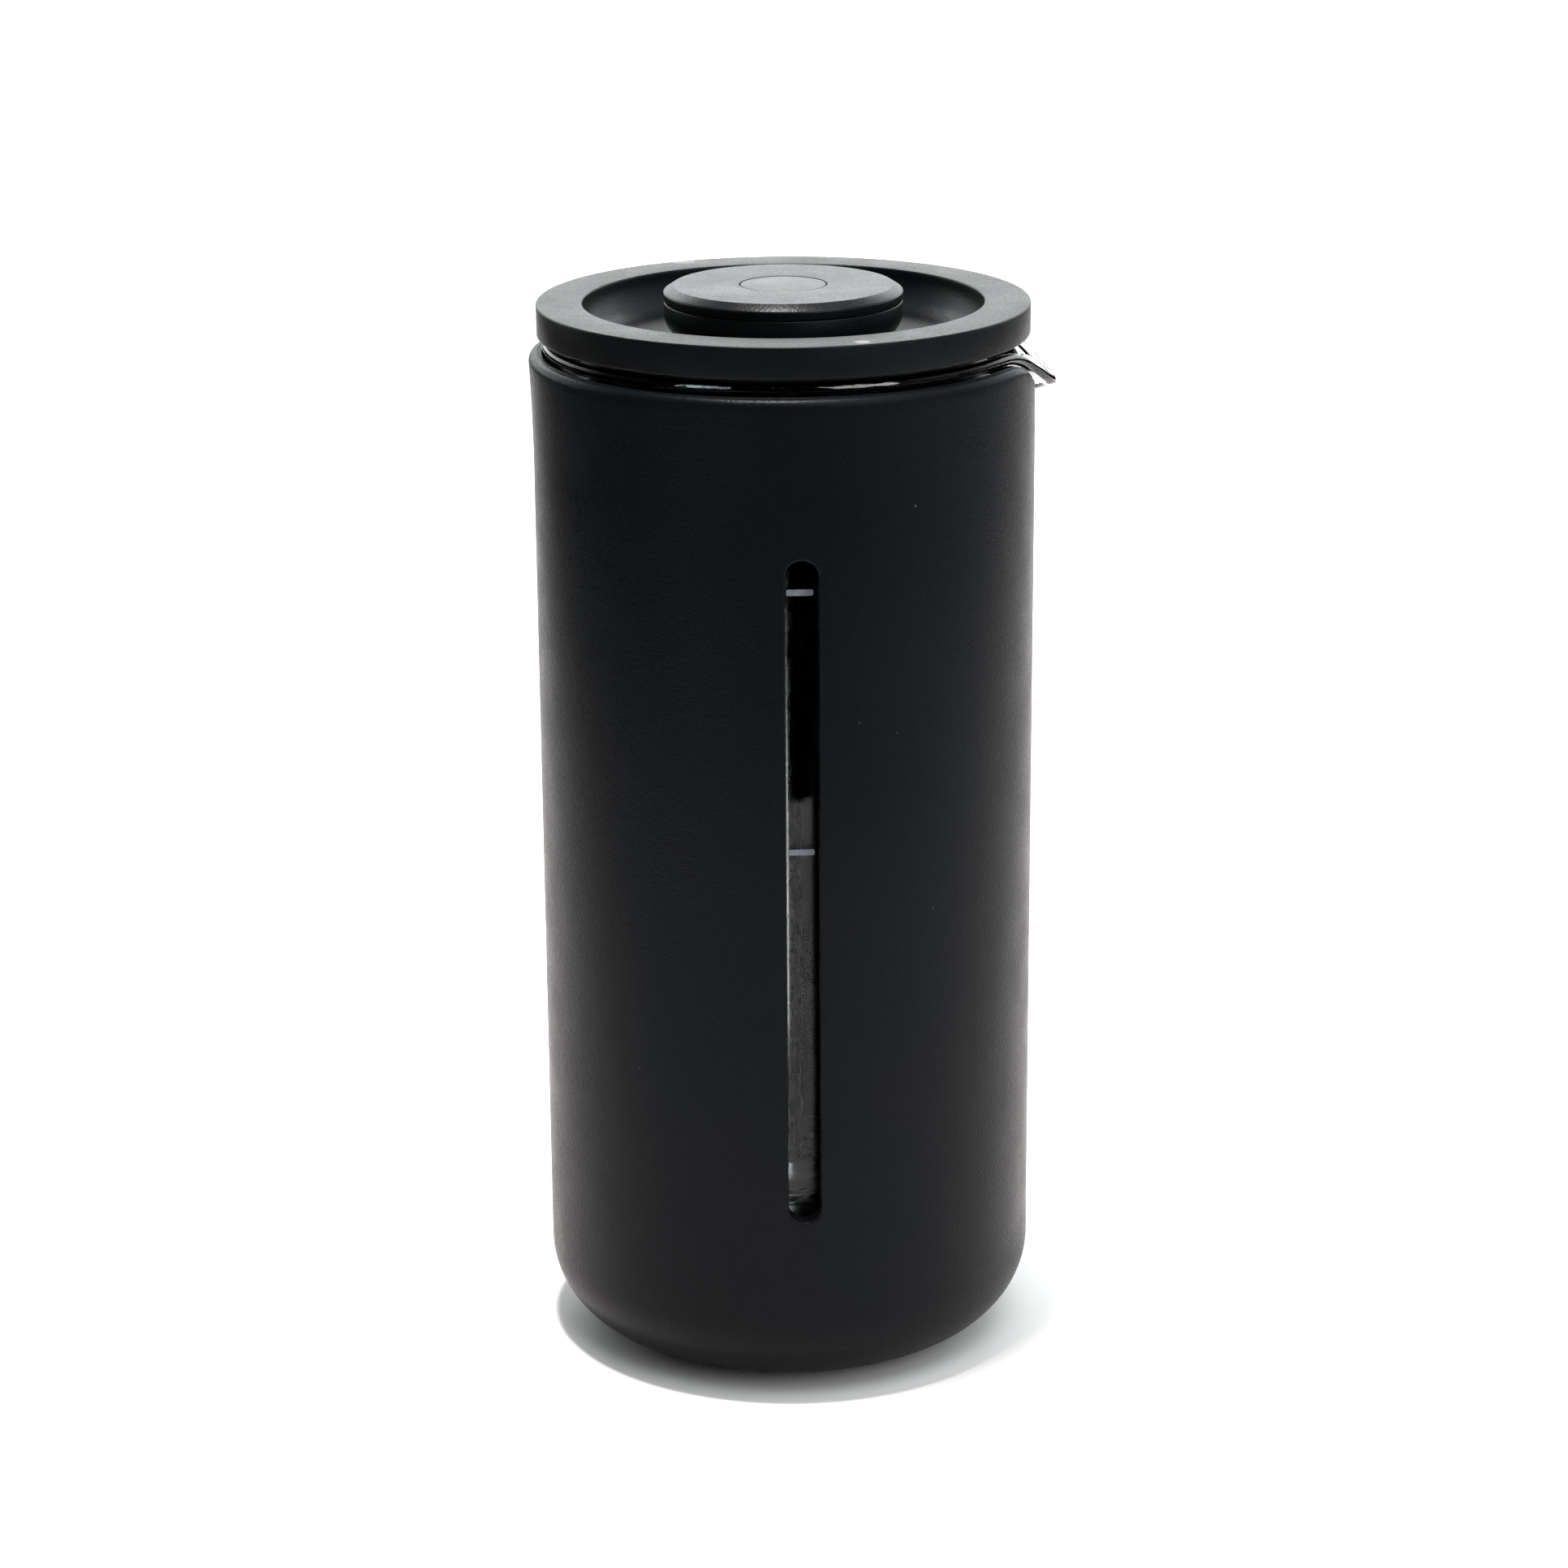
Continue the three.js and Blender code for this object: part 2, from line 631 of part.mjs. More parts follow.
// Windows between the spokes and the rim of the lower plate.
function crossWindows() {
  const [innerR, outerR] = OPENING_R;
  const pitch = 360 / SPOKES;
  return Array.from({ length: SPOKES }, (_, i) => {
    const [from, to] = OPENING_DEG.map((turn) => radians(i * pitch + turn));
    const window = new THREE.Path();
    window.absarc(0, 0, outerR, from, to, false);
    window.absarc(0, 0, innerR, to, from, true);
    return new THREE.Path(window.getPoints(OPENING_STEPS)).closePath();
  });
}

// A circle of drain holes in the top plate.
function drainHoles({ count, pitchRadius, radius }) {
  return Array.from({ length: count }, (_, i) => {
    const angle = (i * 2 * Math.PI) / count;
    const corners = Array.from({ length: DRAIN_SIDES }, (_, k) => {
      const corner = angle + (k * 2 * Math.PI) / DRAIN_SIDES;
      return new THREE.Vector2(
        pitchRadius * Math.cos(angle) + radius * Math.cos(corner),
        pitchRadius * Math.sin(angle) + radius * Math.sin(corner),
      );
    });
    return new THREE.Path(corners).closePath();
  });
}

function topPlate() {
  const disc = plate(PLATE_R, TOP_PLATE_Z, [...drainHoles(OUTER_DRAIN), ...drainHoles(INNER_DRAIN)]);
  const hubZ = [(TOP_PLATE_Z[0] + TOP_PLATE_Z[1]) / 2, ROD_SHOULDER_Z - SKIN];
  const hub = ring(tubeOutline(STACK_HOLE_R, PLATE_HUB_R, hubZ), SMALL);
  return geometryOf(solidOf(disc).add(solidOf(hub)));
}

// A hexagon cap nut with a blind hole from above.
function nut() {
  const [low, high] = NUT_Z;
  const blank = turned([[0, low], [NUT_TIP_R, low], [NUT_R, low + NUT_CHAMFER], [NUT_R, high], [0, high]], 6);
  const holeLow = ROD_LOW_Z - THREAD_CLEAR;
  const length = high + 1 - holeLow;
  const hole = new THREE.CylinderGeometry(THREAD_R + THREAD_CLEAR, THREAD_R + THREAD_CLEAR, length, SMALL);
  return cut(blank, [hole.rotateX(Math.PI / 2).translate(0, 0, holeLow + length / 2)]);
}

function buildFilter() {
  add("filter_nut", nut(), "steel");
  add("filter_cross_plate", plate(PLATE_R, CROSS_PLATE_Z, crossWindows()), "steel");
  add("filter_mesh_lower", plate(PLATE_R - MESH_INSET, LOWER_MESH_Z, []), "mesh");
  add("filter_spacer", ring(tubeOutline(STACK_HOLE_R, SPACER_R, SPACER_Z), SMALL), "steel");
  add("filter_mesh_upper", plate(PLATE_R - MESH_INSET, UPPER_MESH_Z, []), "mesh");
  add("filter_top_plate", topPlate(), "steel");
  const [low, high] = WIPER_Z;
  const [waistIn, waistUp] = WIPER_WAIST;
  add("filter_seal", ring([
    [WIPER_BORE, low],
    [SEAL_R - WIPER_FLANK, low],
    [SEAL_R, low + WIPER_LIP],
    [SEAL_R - waistIn, low + waistUp],
    [SEAL_R, high - WIPER_LIP],
    [SEAL_R - WIPER_FLANK, high],
    [WIPER_BORE, high],
  ], ROUND), "clearSilicone");
}

buildSleeve();
buildGlass();
buildLid();
buildRodGuide();
buildKnob();
buildRod();
buildFilter();

export default press;
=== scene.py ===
"""Looks for the french press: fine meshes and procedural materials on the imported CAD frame."""

import json
import math

import bpy
from mathutils import Matrix, Vector


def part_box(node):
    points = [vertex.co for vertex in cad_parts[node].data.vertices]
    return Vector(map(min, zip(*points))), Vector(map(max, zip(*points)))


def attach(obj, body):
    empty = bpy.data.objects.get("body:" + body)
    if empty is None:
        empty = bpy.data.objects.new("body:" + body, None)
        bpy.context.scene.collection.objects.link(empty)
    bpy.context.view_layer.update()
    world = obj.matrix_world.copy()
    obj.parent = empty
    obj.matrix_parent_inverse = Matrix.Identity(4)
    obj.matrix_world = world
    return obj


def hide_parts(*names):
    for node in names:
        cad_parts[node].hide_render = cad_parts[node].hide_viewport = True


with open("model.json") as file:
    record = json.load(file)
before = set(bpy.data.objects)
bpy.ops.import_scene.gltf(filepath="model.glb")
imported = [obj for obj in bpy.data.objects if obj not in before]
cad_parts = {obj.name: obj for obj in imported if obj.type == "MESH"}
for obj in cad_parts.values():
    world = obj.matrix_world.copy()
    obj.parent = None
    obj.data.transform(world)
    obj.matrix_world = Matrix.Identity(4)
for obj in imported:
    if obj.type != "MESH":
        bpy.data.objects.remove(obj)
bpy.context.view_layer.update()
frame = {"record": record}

MM = 0.001
ROUND = 192
SMALL = 64
SHARP_DEG = 32

# The body of each CAD node, from the record.
BODY_OF = {
    node: body for body, nodes in frame["record"]["behaviour"]["bodies"].items() for node in nodes
}


def extent(node):
    """Radius, lowest and highest point of a round CAD node, in millimetres."""
    low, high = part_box(node)
    return [round(value / MM, 2) for value in (high[0], low[2], high[2])]


# ---------------- outlines, in millimetres


def arc(centre, radius, start, end, steps):
    """Points [r, z] on an arc about centre, in degrees, both ends included."""
    angles = [math.radians(start + (end - start) * i / steps) for i in range(steps + 1)]
    return [(centre[0] + radius * math.cos(a), centre[1] + radius * math.sin(a)) for a in angles]


def soften(points, steps=5, closed=True):
    """Rounds each corner given as (r, z, radius); a corner given as (r, z) stays."""
    out = []
    count = len(points)
    for i, point in enumerate(points):
        here = Vector(point[:2])
        radius = point[2] if len(point) > 2 else 0
        if not radius or (not closed and i in (0, count - 1)):
            out.append(tuple(here))
            continue
        back = (Vector(points[i - 1][:2]) - here).normalized()
        ahead = (Vector(points[(i + 1) % count][:2]) - here).normalized()
        half = back.angle(ahead) / 2
        centre = here + (back + ahead).normalized() * (radius / math.sin(half))
        first = here + back * (radius / math.tan(half)) - centre
        last = here + ahead * (radius / math.tan(half)) - centre
        start = math.atan2(first.y, first.x)
        sweep = (math.atan2(last.y, last.x) - start + math.pi) % (2 * math.pi) - math.pi
        for k in range(steps + 1):
            a = start + sweep * k / steps
            out.append((centre.x + radius * math.cos(a), centre.y + radius * math.sin(a)))
    return out


def bell(degrees, width):
    return math.exp(-((degrees / width) ** 2))


def between(low, high, count):
    """Evenly spaced values between two others, without them."""
    return [low + (high - low) * i / (count + 1) for i in range(1, count + 1)]


def soft_min(a, b, width):
    """The smaller of two heights, blended where they are about equal."""
    mix = max(0.0, min(1.0, 0.5 + 0.5 * (b - a) / width))
    return b * (1 - mix) + a * mix - width * mix * (1 - mix)


# ---------------- meshes


def new_object(name, data):
    made = bpy.data.objects.new(name, data)
    bpy.context.scene.collection.objects.link(made)
    return made


def mesh_piece(name, vertices, faces, look, node, extra=False, sharp=SHARP_DEG):
    """An object from vertices in millimetres; vertices that no face uses are left out."""
    used = sorted({i for face in faces for i in face})
    index = {old: new for new, old in enumerate(used)}
    data = bpy.data.meshes.new(name)
    data.from_pydata(
        [[c * MM for c in vertices[i]] for i in used],
        [],
        [[index[i] for i in face] for face in faces],
    )
    return finished_piece(name, data, look, node, extra, sharp)


def finished_piece(name, data, look, node, extra=False, sharp=SHARP_DEG):
    """A piece that stands for a CAD node, or an extra one that only rides with it."""
    data.shade_smooth()
    data.set_sharp_from_angle(angle=math.radians(sharp))
    data.materials.clear()
    data.materials.append(look)
    piece = new_object(name, data)
    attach(piece, BODY_OF[node])
    if not extra:
        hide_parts(node)
    return piece


def grid(sections, angles, ring=False):
    """Vertices and faces of a closed turn through sections of [r, z], one for each angle.

    ring joins each section's last point to its first."""
    rows = len(sections[0])
    vertices, faces = [], []
    for section, degrees in zip(sections, angles):
        a = math.radians(degrees)
        vertices += [(r * math.cos(a), r * math.sin(a), z) for r, z in section]
    count = len(angles)
    for i in range(count):
        here, there = i * rows, (i + 1) % count * rows
        for j in range(rows if ring else rows - 1):
            k = (j + 1) % rows
            low, high = sections[i][j][0], sections[i][k][0]
            if low < 1e-6 and high < 1e-6:
                continue
            if low < 1e-6:
                faces.append((j, there + k, here + k))
            elif high < 1e-6:
                faces.append((here + j, there + j, k))
            else:
                faces.append((here + j, there + j, there + k, here + k))
    return vertices, faces


def turned(name, outline, look, node, steps=ROUND, ring=False, extra=False):
    """A solid of revolution; ring closes the outline on itself."""
    angles = [360 * i / steps for i in range(steps)]
    vertices, faces = grid([outline] * steps, angles, ring)
    return mesh_piece(name, vertices, faces, look, node, extra)


class Slot:
    """An upright slot with round ends through a wall, cut out of a grid of columns and rows."""

    def __init__(self, centre_deg, half_width, low_z, high_z, edge):
        self.centre = centre_deg
        self.half = half_width
        self.low = low_z + half_width
        self.high = high_z - half_width
        self.edge = edge

    def nearest(self, side, z):
        """Height of the nearest point on the slot's middle line, and the direction and distance from it."""
        mid = min(max(z, self.low), self.high)
        away = Vector((side, z - mid))
        return mid, away.normalized(), away.length

    def point(self, side, z, radius):
        a = math.radians(self.centre) + math.asin(side / radius)
        return (radius * math.cos(a), radius * math.sin(a), z)


def cut_slots(vertices, faces, rows, slots, starts, levels, radii):
    """Replaces wall cells inside rectangles by rings of faces that run through the slots.

    slots lists (slot, first column, last column). starts are the rows from which the outer wall's
    levels run up and the inner wall's run down."""
    outer_rows = [starts[0] + k for k in range(levels)]
    inner_rows = [starts[1] + levels - 1 - k for k in range(levels)]
    gone = set()
    for _, first, last in slots:
        for c in range(first, last):
            gone |= {c * rows + outer_rows[k] for k in range(levels - 1)}
            gone |= {c * rows + inner_rows[k + 1] for k in range(levels - 1)}
    kept = [f for f in faces if not (len(f) == 4 and f[0] in gone)]
    for slot, first, last in slots:
        kept += slot_faces(vertices, rows, slot, (first, last), outer_rows, inner_rows, radii)
    return kept


def slot_faces(vertices, rows, slot, cells, outer_rows, inner_rows, radii):
    """Rings of faces from a rectangle of cells on the outer wall, through the slot, to the inner wall."""
    first, last = cells
    top = len(outer_rows) - 1
    loop = [(c, 0) for c in range(first, last)]
    loop += [(last, k) for k in range(top)]
    loop += [(c, top) for c in range(last, first, -1)]
    loop += [(first, k) for k in range(top, 0, -1)]
    outer_r, inner_r = radii
    edge = slot.edge
    start = slot.half + edge
    spread = (0.72, 0.48, 0.28, 0.12, 0.0)
    turns = [math.radians(90 * k / 5) for k in range(1, 6)]

    def ring_of(place):
        ring = []
        for c, k in loop:
            x, y, z = vertices[c * rows + outer_rows[k]]
            a = math.atan2(y, x) - math.radians(slot.centre)
            a = (a + math.pi) % (2 * math.pi) - math.pi
            mid, away, reach = slot.nearest(outer_r * math.sin(a), z)
            distance, radius = place(reach)
            ring.append(len(vertices))
            vertices.append(slot.point(away.x * distance, mid + away.y * distance, radius))
        return ring

    def flat(share, radius):
        return ring_of(lambda reach: (start + share * (reach - start), radius))

    def rounded(turn, radius, way):
        spot = (start - edge * math.sin(turn), radius + way * edge * (1 - math.cos(turn)))
        return ring_of(lambda reach: spot)

    rings = [[c * rows + outer_rows[k] for c, k in loop]]
    rings += [flat(share, outer_r) for share in spread]
    rings += [rounded(turn, outer_r, -1) for turn in turns]
    rings += [rounded(turn, inner_r, 1) for turn in reversed(turns)]
    rings += [flat(share, inner_r) for share in reversed(spread)]
    rings.append([c * rows + inner_rows[k] for c, k in loop])
    faces = []
    for far, near in zip(rings, rings[1:]):
        for p in range(len(loop)):
            q = (p + 1) % len(loop)
            faces.append((far[p], far[q], near[q], near[p]))
    return faces


def plate(name, loops, low, high, bevel, look, node):
    """A flat sheet with holes and softened edges; the first loop is the outline."""
    curve = bpy.data.curves.new(name, "CURVE")
    curve.dimensions = "2D"
    curve.fill_mode = "BOTH"
    curve.extrude = (high - low) / 2 * MM - bevel * MM
    curve.bevel_depth = bevel * MM
    curve.bevel_resolution = 2
    curve.offset = -bevel * MM
    for loop in loops:
        spline = curve.splines.new("POLY")
        spline.points.add(len(loop) - 1)
        spline.use_cyclic_u = True
        for point, (x, y) in zip(spline.points, loop):
            point.co = (x * MM, y * MM, 0, 1)
    shape = new_object(name + "_curve", curve)
    graph = bpy.context.evaluated_depsgraph_get()
    data = bpy.data.meshes.new_from_object(shape.evaluated_get(graph))
    bpy.data.objects.remove(shape)
    bpy.data.curves.remove(curve)
    data.transform(Matrix.Translation((0, 0, (low + high) / 2 * MM)))
    return finished_piece(name, data, look, node)


def circle(radius, steps, centre=(0, 0)):
    return arc(centre, radius, 0, 360, steps)[:-1]


# ---------------- materials


class Nodes:
    """Short ways to add nodes to a tree: inputs that are sockets are linked, others are set."""

    def __init__(self, tree):
        self.tree = tree

    def node(self, kind, inputs=None, **settings):
        node = self.tree.nodes.new(kind)
        for key, value in settings.items():
            setattr(node, key, value)
        for key, value in (inputs or {}).items():
            if isinstance(value, bpy.types.NodeSocket):
                self.tree.links.new(value, node.inputs[key])
            else:
                node.inputs[key].default_value = value
        return node

    def math(self, operation, a, b=0.0):
        return self.node("ShaderNodeMath", {0: a, 1: b}, operation=operation).outputs[0]

    def span(self, value, low, high, to_low=0.0, to_high=1.0, smooth=False):
        return self.node(
            "ShaderNodeMapRange",
            {"Value": value, "From Min": low, "From Max": high, "To Min": to_low, "To Max": to_high},
            interpolation_type="SMOOTHSTEP" if smooth else "LINEAR",
        ).outputs["Result"]


class Look(Nodes):
    """A node material under construction. Lengths in its texture scales are per millimetre."""

    def __init__(self, name):
        self.material = bpy.data.materials.new(name)
        self.material.use_nodes = True
        super().__init__(self.material.node_tree)
        self.shader = self.tree.nodes["Principled BSDF"]
        coordinates = self.tree.nodes.new("ShaderNodeTexCoord")
        self.place = self.vector("MULTIPLY", coordinates.outputs["Object"], (1 / MM,) * 3)

    def set(self, **values):
        """Inputs of the main shader, with _ for a space in their names."""
        for key, value in values.items():
            socket = self.shader.inputs[key.replace("_", " ")]
            if isinstance(value, bpy.types.NodeSocket):
                self.tree.links.new(value, socket)
            else:
                socket.default_value = value

    def vector(self, operation, a, b):
        return self.node("ShaderNodeVectorMath", {0: a, 1: b}, operation=operation).outputs[0]

    def stretch(self, factors):
        return self.vector("MULTIPLY", self.place, factors)

    def noise(self, scale, detail=3, vector=None, rough=0.55):
        return self.node(
            "ShaderNodeTexNoise",
            {"Vector": vector or self.place, "Scale": scale, "Detail": detail, "Roughness": rough},
        ).outputs["Fac"]

    def mix(self, factor, a, b):
        node = self.node("ShaderNodeMix", {0: factor}, data_type="RGBA")
        for socket, value in ((node.inputs[6], a), (node.inputs[7], b)):
            if isinstance(value, bpy.types.NodeSocket):
                self.tree.links.new(value, socket)
            else:
                socket.default_value = (*value, 1)
        return node.outputs[2]

    def bump(self, height, distance, strength=1.0, under=None):
        inputs = {"Height": height, "Distance": distance * MM, "Strength": strength}
        if under is not None:
            inputs["Normal"] = under
        return self.node("ShaderNodeBump", inputs).outputs["Normal"]

    def specks(self, cell, size, share):
        """Sparse spots: 1 inside a spot of that size, in a share of the cells, else 0."""
        wobble = self.node(
            "ShaderNodeTexNoise", {"Vector": self.place, "Scale": 1.4, "Detail": 1}
        ).outputs["Color"]
        shifted = self.node(
            "ShaderNodeVectorMath", {0: wobble, 1: (size * 2.2,) * 3, 2: self.place},
            operation="MULTIPLY_ADD",
        ).outputs[0]
        spots = self.node("ShaderNodeTexVoronoi", {"Vector": shifted, "Scale": 1 / cell})
        near = self.span(spots.outputs["Distance"], size / cell, size / cell * 0.6)
        pick = self.node("ShaderNodeSeparateColor", {0: spots.outputs["Color"]}).outputs[0]
        return self.math("MULTIPLY", near, self.math("LESS_THAN", pick, share))

    def stains(self, cell, size, share):
        """Sparse rings, as dried drops leave."""
        spots = self.node("ShaderNodeTexVoronoi", {"Vector": self.place, "Scale": 1 / cell})
        wobble = self.span(self.noise(0.7), 0, 1, -0.02, 0.02)
        away = self.math("ADD", spots.outputs["Distance"], wobble)
        offset = self.math("ABSOLUTE", self.math("SUBTRACT", away, size / cell))
        line = self.span(offset, 0.014, 0.004)
        pick = self.node("ShaderNodeSeparateColor", {0: spots.outputs["Color"]}).outputs[1]
        return self.math("MULTIPLY", line, self.math("LESS_THAN", pick, share))

    def dried_drop(self, centre, size, filled, amount):
        """The mark of one dried drop about a place: a filled patch, or only its outline."""
        offset = self.vector("SUBTRACT", self.place, centre)
        scaled = self.vector("MULTIPLY", offset, [1 / half for half in size])
        away = self.node("ShaderNodeVectorMath", {0: scaled}, operation="LENGTH").outputs["Value"]
        away = self.math("ADD", away, self.span(self.noise(0.5, 2), 0.2, 0.8, -0.18, 0.18))
        shape = self.span(away, 1.0, 0.85)
        if not filled:
            shape = self.math("MULTIPLY", shape, self.span(away, 0.7, 0.9))
        return self.math("MULTIPLY", shape, amount)

    def axes(self):
        return self.node("ShaderNodeSeparateXYZ", {0: self.place}).outputs[:]


def black_plastic(name, low, high, rough, grain, dust=0.5, specular=0.5, marks=()):
    """Moulded black plastic: low and high are its colours at the foot and at the top of the press; a lighter,
    warmer low colour is a painted reflection of the warm floor.
    """
    look = Look(name)
    # A random tone plus a height ramp; the ramp carries the painted floor reflection towards the foot.
    tone_and_painted_reflection = look.math("ADD", look.noise(0.03, 2), look.span(look.axes()[2], 0, 180, -0.35, 0.35))
    fine = look.math("ADD", look.noise(3.4, 2, rough=0.6), look.math("MULTIPLY", look.noise(1.7, 1), 0.7))
    colour = look.mix(look.span(tone_and_painted_reflection, 0.2, 0.8), low, high)
    speck = look.specks(3.1, 0.11, 0.07 * dust)
    lint = look.specks(9.0, 0.2, 0.12 * dust)
    ring = look.math("MULTIPLY", look.stains(17.0, 1.6, 0.07 * dust), 0.12)
    dirt = look.math("MAXIMUM", look.math("MULTIPLY", look.math("MAXIMUM", speck, lint), 0.5), ring)
    for mark in marks:
        dirt = look.math("MAXIMUM", dirt, look.dried_drop(*mark))
    colour = look.mix(dirt, colour, (0.2, 0.21, 0.21))
    roughness = look.math(
        "ADD", look.span(fine, 0.5, 1.2, rough - 0.08, rough + 0.08),
        look.span(look.noise(0.12, 3), 0.35, 0.65, -0.03, 0.03),
    )
    height = look.math("ADD", fine, look.math("MULTIPLY", look.noise(0.9, 2), 0.3))
    look.set(
        Base_Color=colour,
        Roughness=roughness,
        Normal=look.bump(height, grain),
        Specular_IOR_Level=specular,
        Specular_Tint=(0.85, 0.96, 1.0, 1),
    )
    return look.material


def metal(name, dark, pale, rough, brushed, scale=1.0, turned_marks=False):
    look = Look(name)
    if turned_marks:
        x, y, z = look.axes()
        radius = look.math("SQRT", look.math("ADD", look.math("POWER", x, 2.0), look.math("POWER", y, 2.0)))
        vector = look.node("ShaderNodeCombineXYZ", {0: radius, 1: z, 2: 0.0}).outputs[0]
        marks = look.noise(3.4 * scale, 3, vector)
    else:
        marks = look.noise(1.6 * scale, 4, look.stretch((1, 1, 0.06)))
    worn = look.noise(0.25, 3)
    look.set(
        Base_Color=look.mix(look.span(worn, 0.3, 0.7), dark, pale),
        Metallic=1.0,
        Roughness=look.span(look.math("ADD", marks, worn), 0.7, 1.3, rough - 0.07, rough + 0.07),
        Normal=look.bump(marks, brushed),
    )
    return look.material


def woven_metal(name):
    look = Look(name)
    pitch = math.pi / 0.36
    wave_x, wave_y = [look.math("SINE", look.math("MULTIPLY", side, pitch)) for side in look.axes()[:2]]
    over = look.math("MULTIPLY", wave_x, wave_y)
    wires = look.math("MAXIMUM", look.math("ABSOLUTE", wave_x), look.math("ABSOLUTE", wave_y))
    height = look.math("ADD", wires, look.math("MULTIPLY", over, 0.4))
    # Colour darker between the wires: painted shade in the gaps of the weave.
    colour = look.mix(look.span(wires, 0.35, 0.9), (0.12, 0.12, 0.125), (0.62, 0.62, 0.63))
    look.set(
        Base_Color=look.mix(look.span(look.noise(0.3), 0.35, 0.7, 0, 0.3), colour, (0.4, 0.38, 0.35)),
        Metallic=1.0,
        Roughness=look.span(over, -1, 1, 0.42, 0.3),
        Normal=look.bump(height, 0.05),
    )
    return look.material


def silicone(name, dark, pale, rough, clear=0.0):
    look = Look(name)
    look.set(
        Base_Color=look.mix(look.span(look.noise(0.2, 4), 0.3, 0.7), dark, pale),
        Roughness=look.span(look.noise(1.8, 3), 0.25, 0.75, rough - 0.08, rough + 0.08),
        Normal=look.bump(look.noise(2.2, 3), 0.012),
        Transmission_Weight=clear,
        Subsurface_Weight=0.25 if clear else 0.0,
        Subsurface_Radius=(0.002, 0.002, 0.002),
        IOR=1.41,
    )
    return look.material


def clear_glass(name):
    look = Look(name)
    smear = look.span(look.noise(0.09, 4, look.stretch((1, 1, 0.5))), 0.5, 0.75)
    specks = look.specks(5.0, 0.1, 0.08)
    haze, grit = look.math("MULTIPLY", smear, 0.012), look.math("MULTIPLY", specks, 0.3)
    look.set(
        Base_Color=look.mix(smear, (0.955, 0.985, 0.98), (0.93, 0.965, 0.96)),
        Roughness=look.math("MAXIMUM", haze, grit),
        Normal=look.bump(look.noise(0.03, 1), 0.004, 0.2),
        Transmission_Weight=1.0,
        IOR=1.474,
        # The grey specular tint dims the glass's reflections below those of real glass: painted shade on what
        # it reflects.
        Specular_Tint=(0.26, 0.27, 0.27, 1),
    )
    return look.material


def enamel_print(name):
    look = Look(name)
    patchy = look.noise(1.5, 4)
    look.set(
        Base_Color=look.mix(look.span(patchy, 0.3, 0.7), (0.17, 0.21, 0.25), (0.25, 0.29, 0.33)),
        Roughness=look.span(patchy, 0.2, 0.8, 0.42, 0.6),
        Normal=look.bump(look.noise(6, 2), 0.01),
    )
    return look.material


def pale_floor(name):
    look = Look(name)
    soft = look.noise(0.012, 2)
    look.set(
        Base_Color=look.mix(soft, (0.80, 0.805, 0.81), (0.83, 0.83, 0.83)),
        Roughness=look.span(look.noise(0.3, 2), 0.3, 0.7, 0.75, 0.85),
        Normal=look.bump(look.noise(0.8, 3), 0.02),
        Specular_IOR_Level=0.1,
    )
    return look.material


# Dried drops on the lid: centre, half size, filled or only outlined, and strength.
LID_MARKS = (
    ((10.1, -37.6, 181.4), (1.35, 1.15, 4), True, 0.6),
    ((-15.2, 36.6, 181.4), (2.2, 1.5, 4), True, 0.4),
    ((-12.2, 36.8, 181.4), (1.3, 1.2, 4), False, 0.5),
    ((22.4, -12.5, 176.0), (3.4, 3.0, 4), False, 0.45),
)
# The sleeve's lighter, warmer low colour is a painted reflection of the warm floor on its foot.
SLEEVE_BLACK = black_plastic(
    "sleeve_black_matte", low=(0.0042, 0.0042, 0.0052), high=(0.002, 0.0034, 0.0046),
    rough=0.34, grain=0.045, dust=0.9, specular=0.07,
)
LID_BLACK = black_plastic(
    "lid_black_matte", low=(0.003, 0.0035, 0.004), high=(0.003, 0.0036, 0.0042),
    rough=0.35, grain=0.04, dust=1.2, specular=0.12, marks=LID_MARKS,
)
KNOB_BLACK = black_plastic(
    "knob_black_satin", low=(0.003, 0.0036, 0.0042), high=(0.003, 0.0036, 0.0042),
    rough=0.33, grain=0.03, dust=0.3, specular=0.17,
)
BADGE = metal(
    "badge_satin_metal", dark=(0.048, 0.049, 0.051), pale=(0.058, 0.06, 0.062),
    rough=0.42, brushed=0.006, scale=1.4,
)
SEAL_BLACK = silicone("silicone_dark", dark=(0.011, 0.0115, 0.0125), pale=(0.018, 0.0185, 0.02), rough=0.62)
SEAL_CLEAR = silicone(
    "silicone_milky", dark=(0.44, 0.45, 0.445), pale=(0.56, 0.57, 0.565), rough=0.38, clear=0.5
)
GLASS = clear_glass("borosilicate_glass")
STEEL = metal("steel_satin", dark=(0.50, 0.50, 0.51), pale=(0.62, 0.62, 0.63), rough=0.27, brushed=0.006)
STEEL_TURNED = metal(
    "steel_turned", dark=(0.48, 0.48, 0.49), pale=(0.60, 0.60, 0.61),
    rough=0.3, brushed=0.008, turned_marks=True,
)
WOVEN = woven_metal("steel_woven")
BRASS = metal(
    "brass_turned", dark=(0.52, 0.38, 0.16), pale=(0.66, 0.50, 0.24),
    rough=0.3, brushed=0.01, turned_marks=True,
)
PRINT = enamel_print("level_enamel")
FLOOR = pale_floor("pale_floor")


# ---------------- sleeve

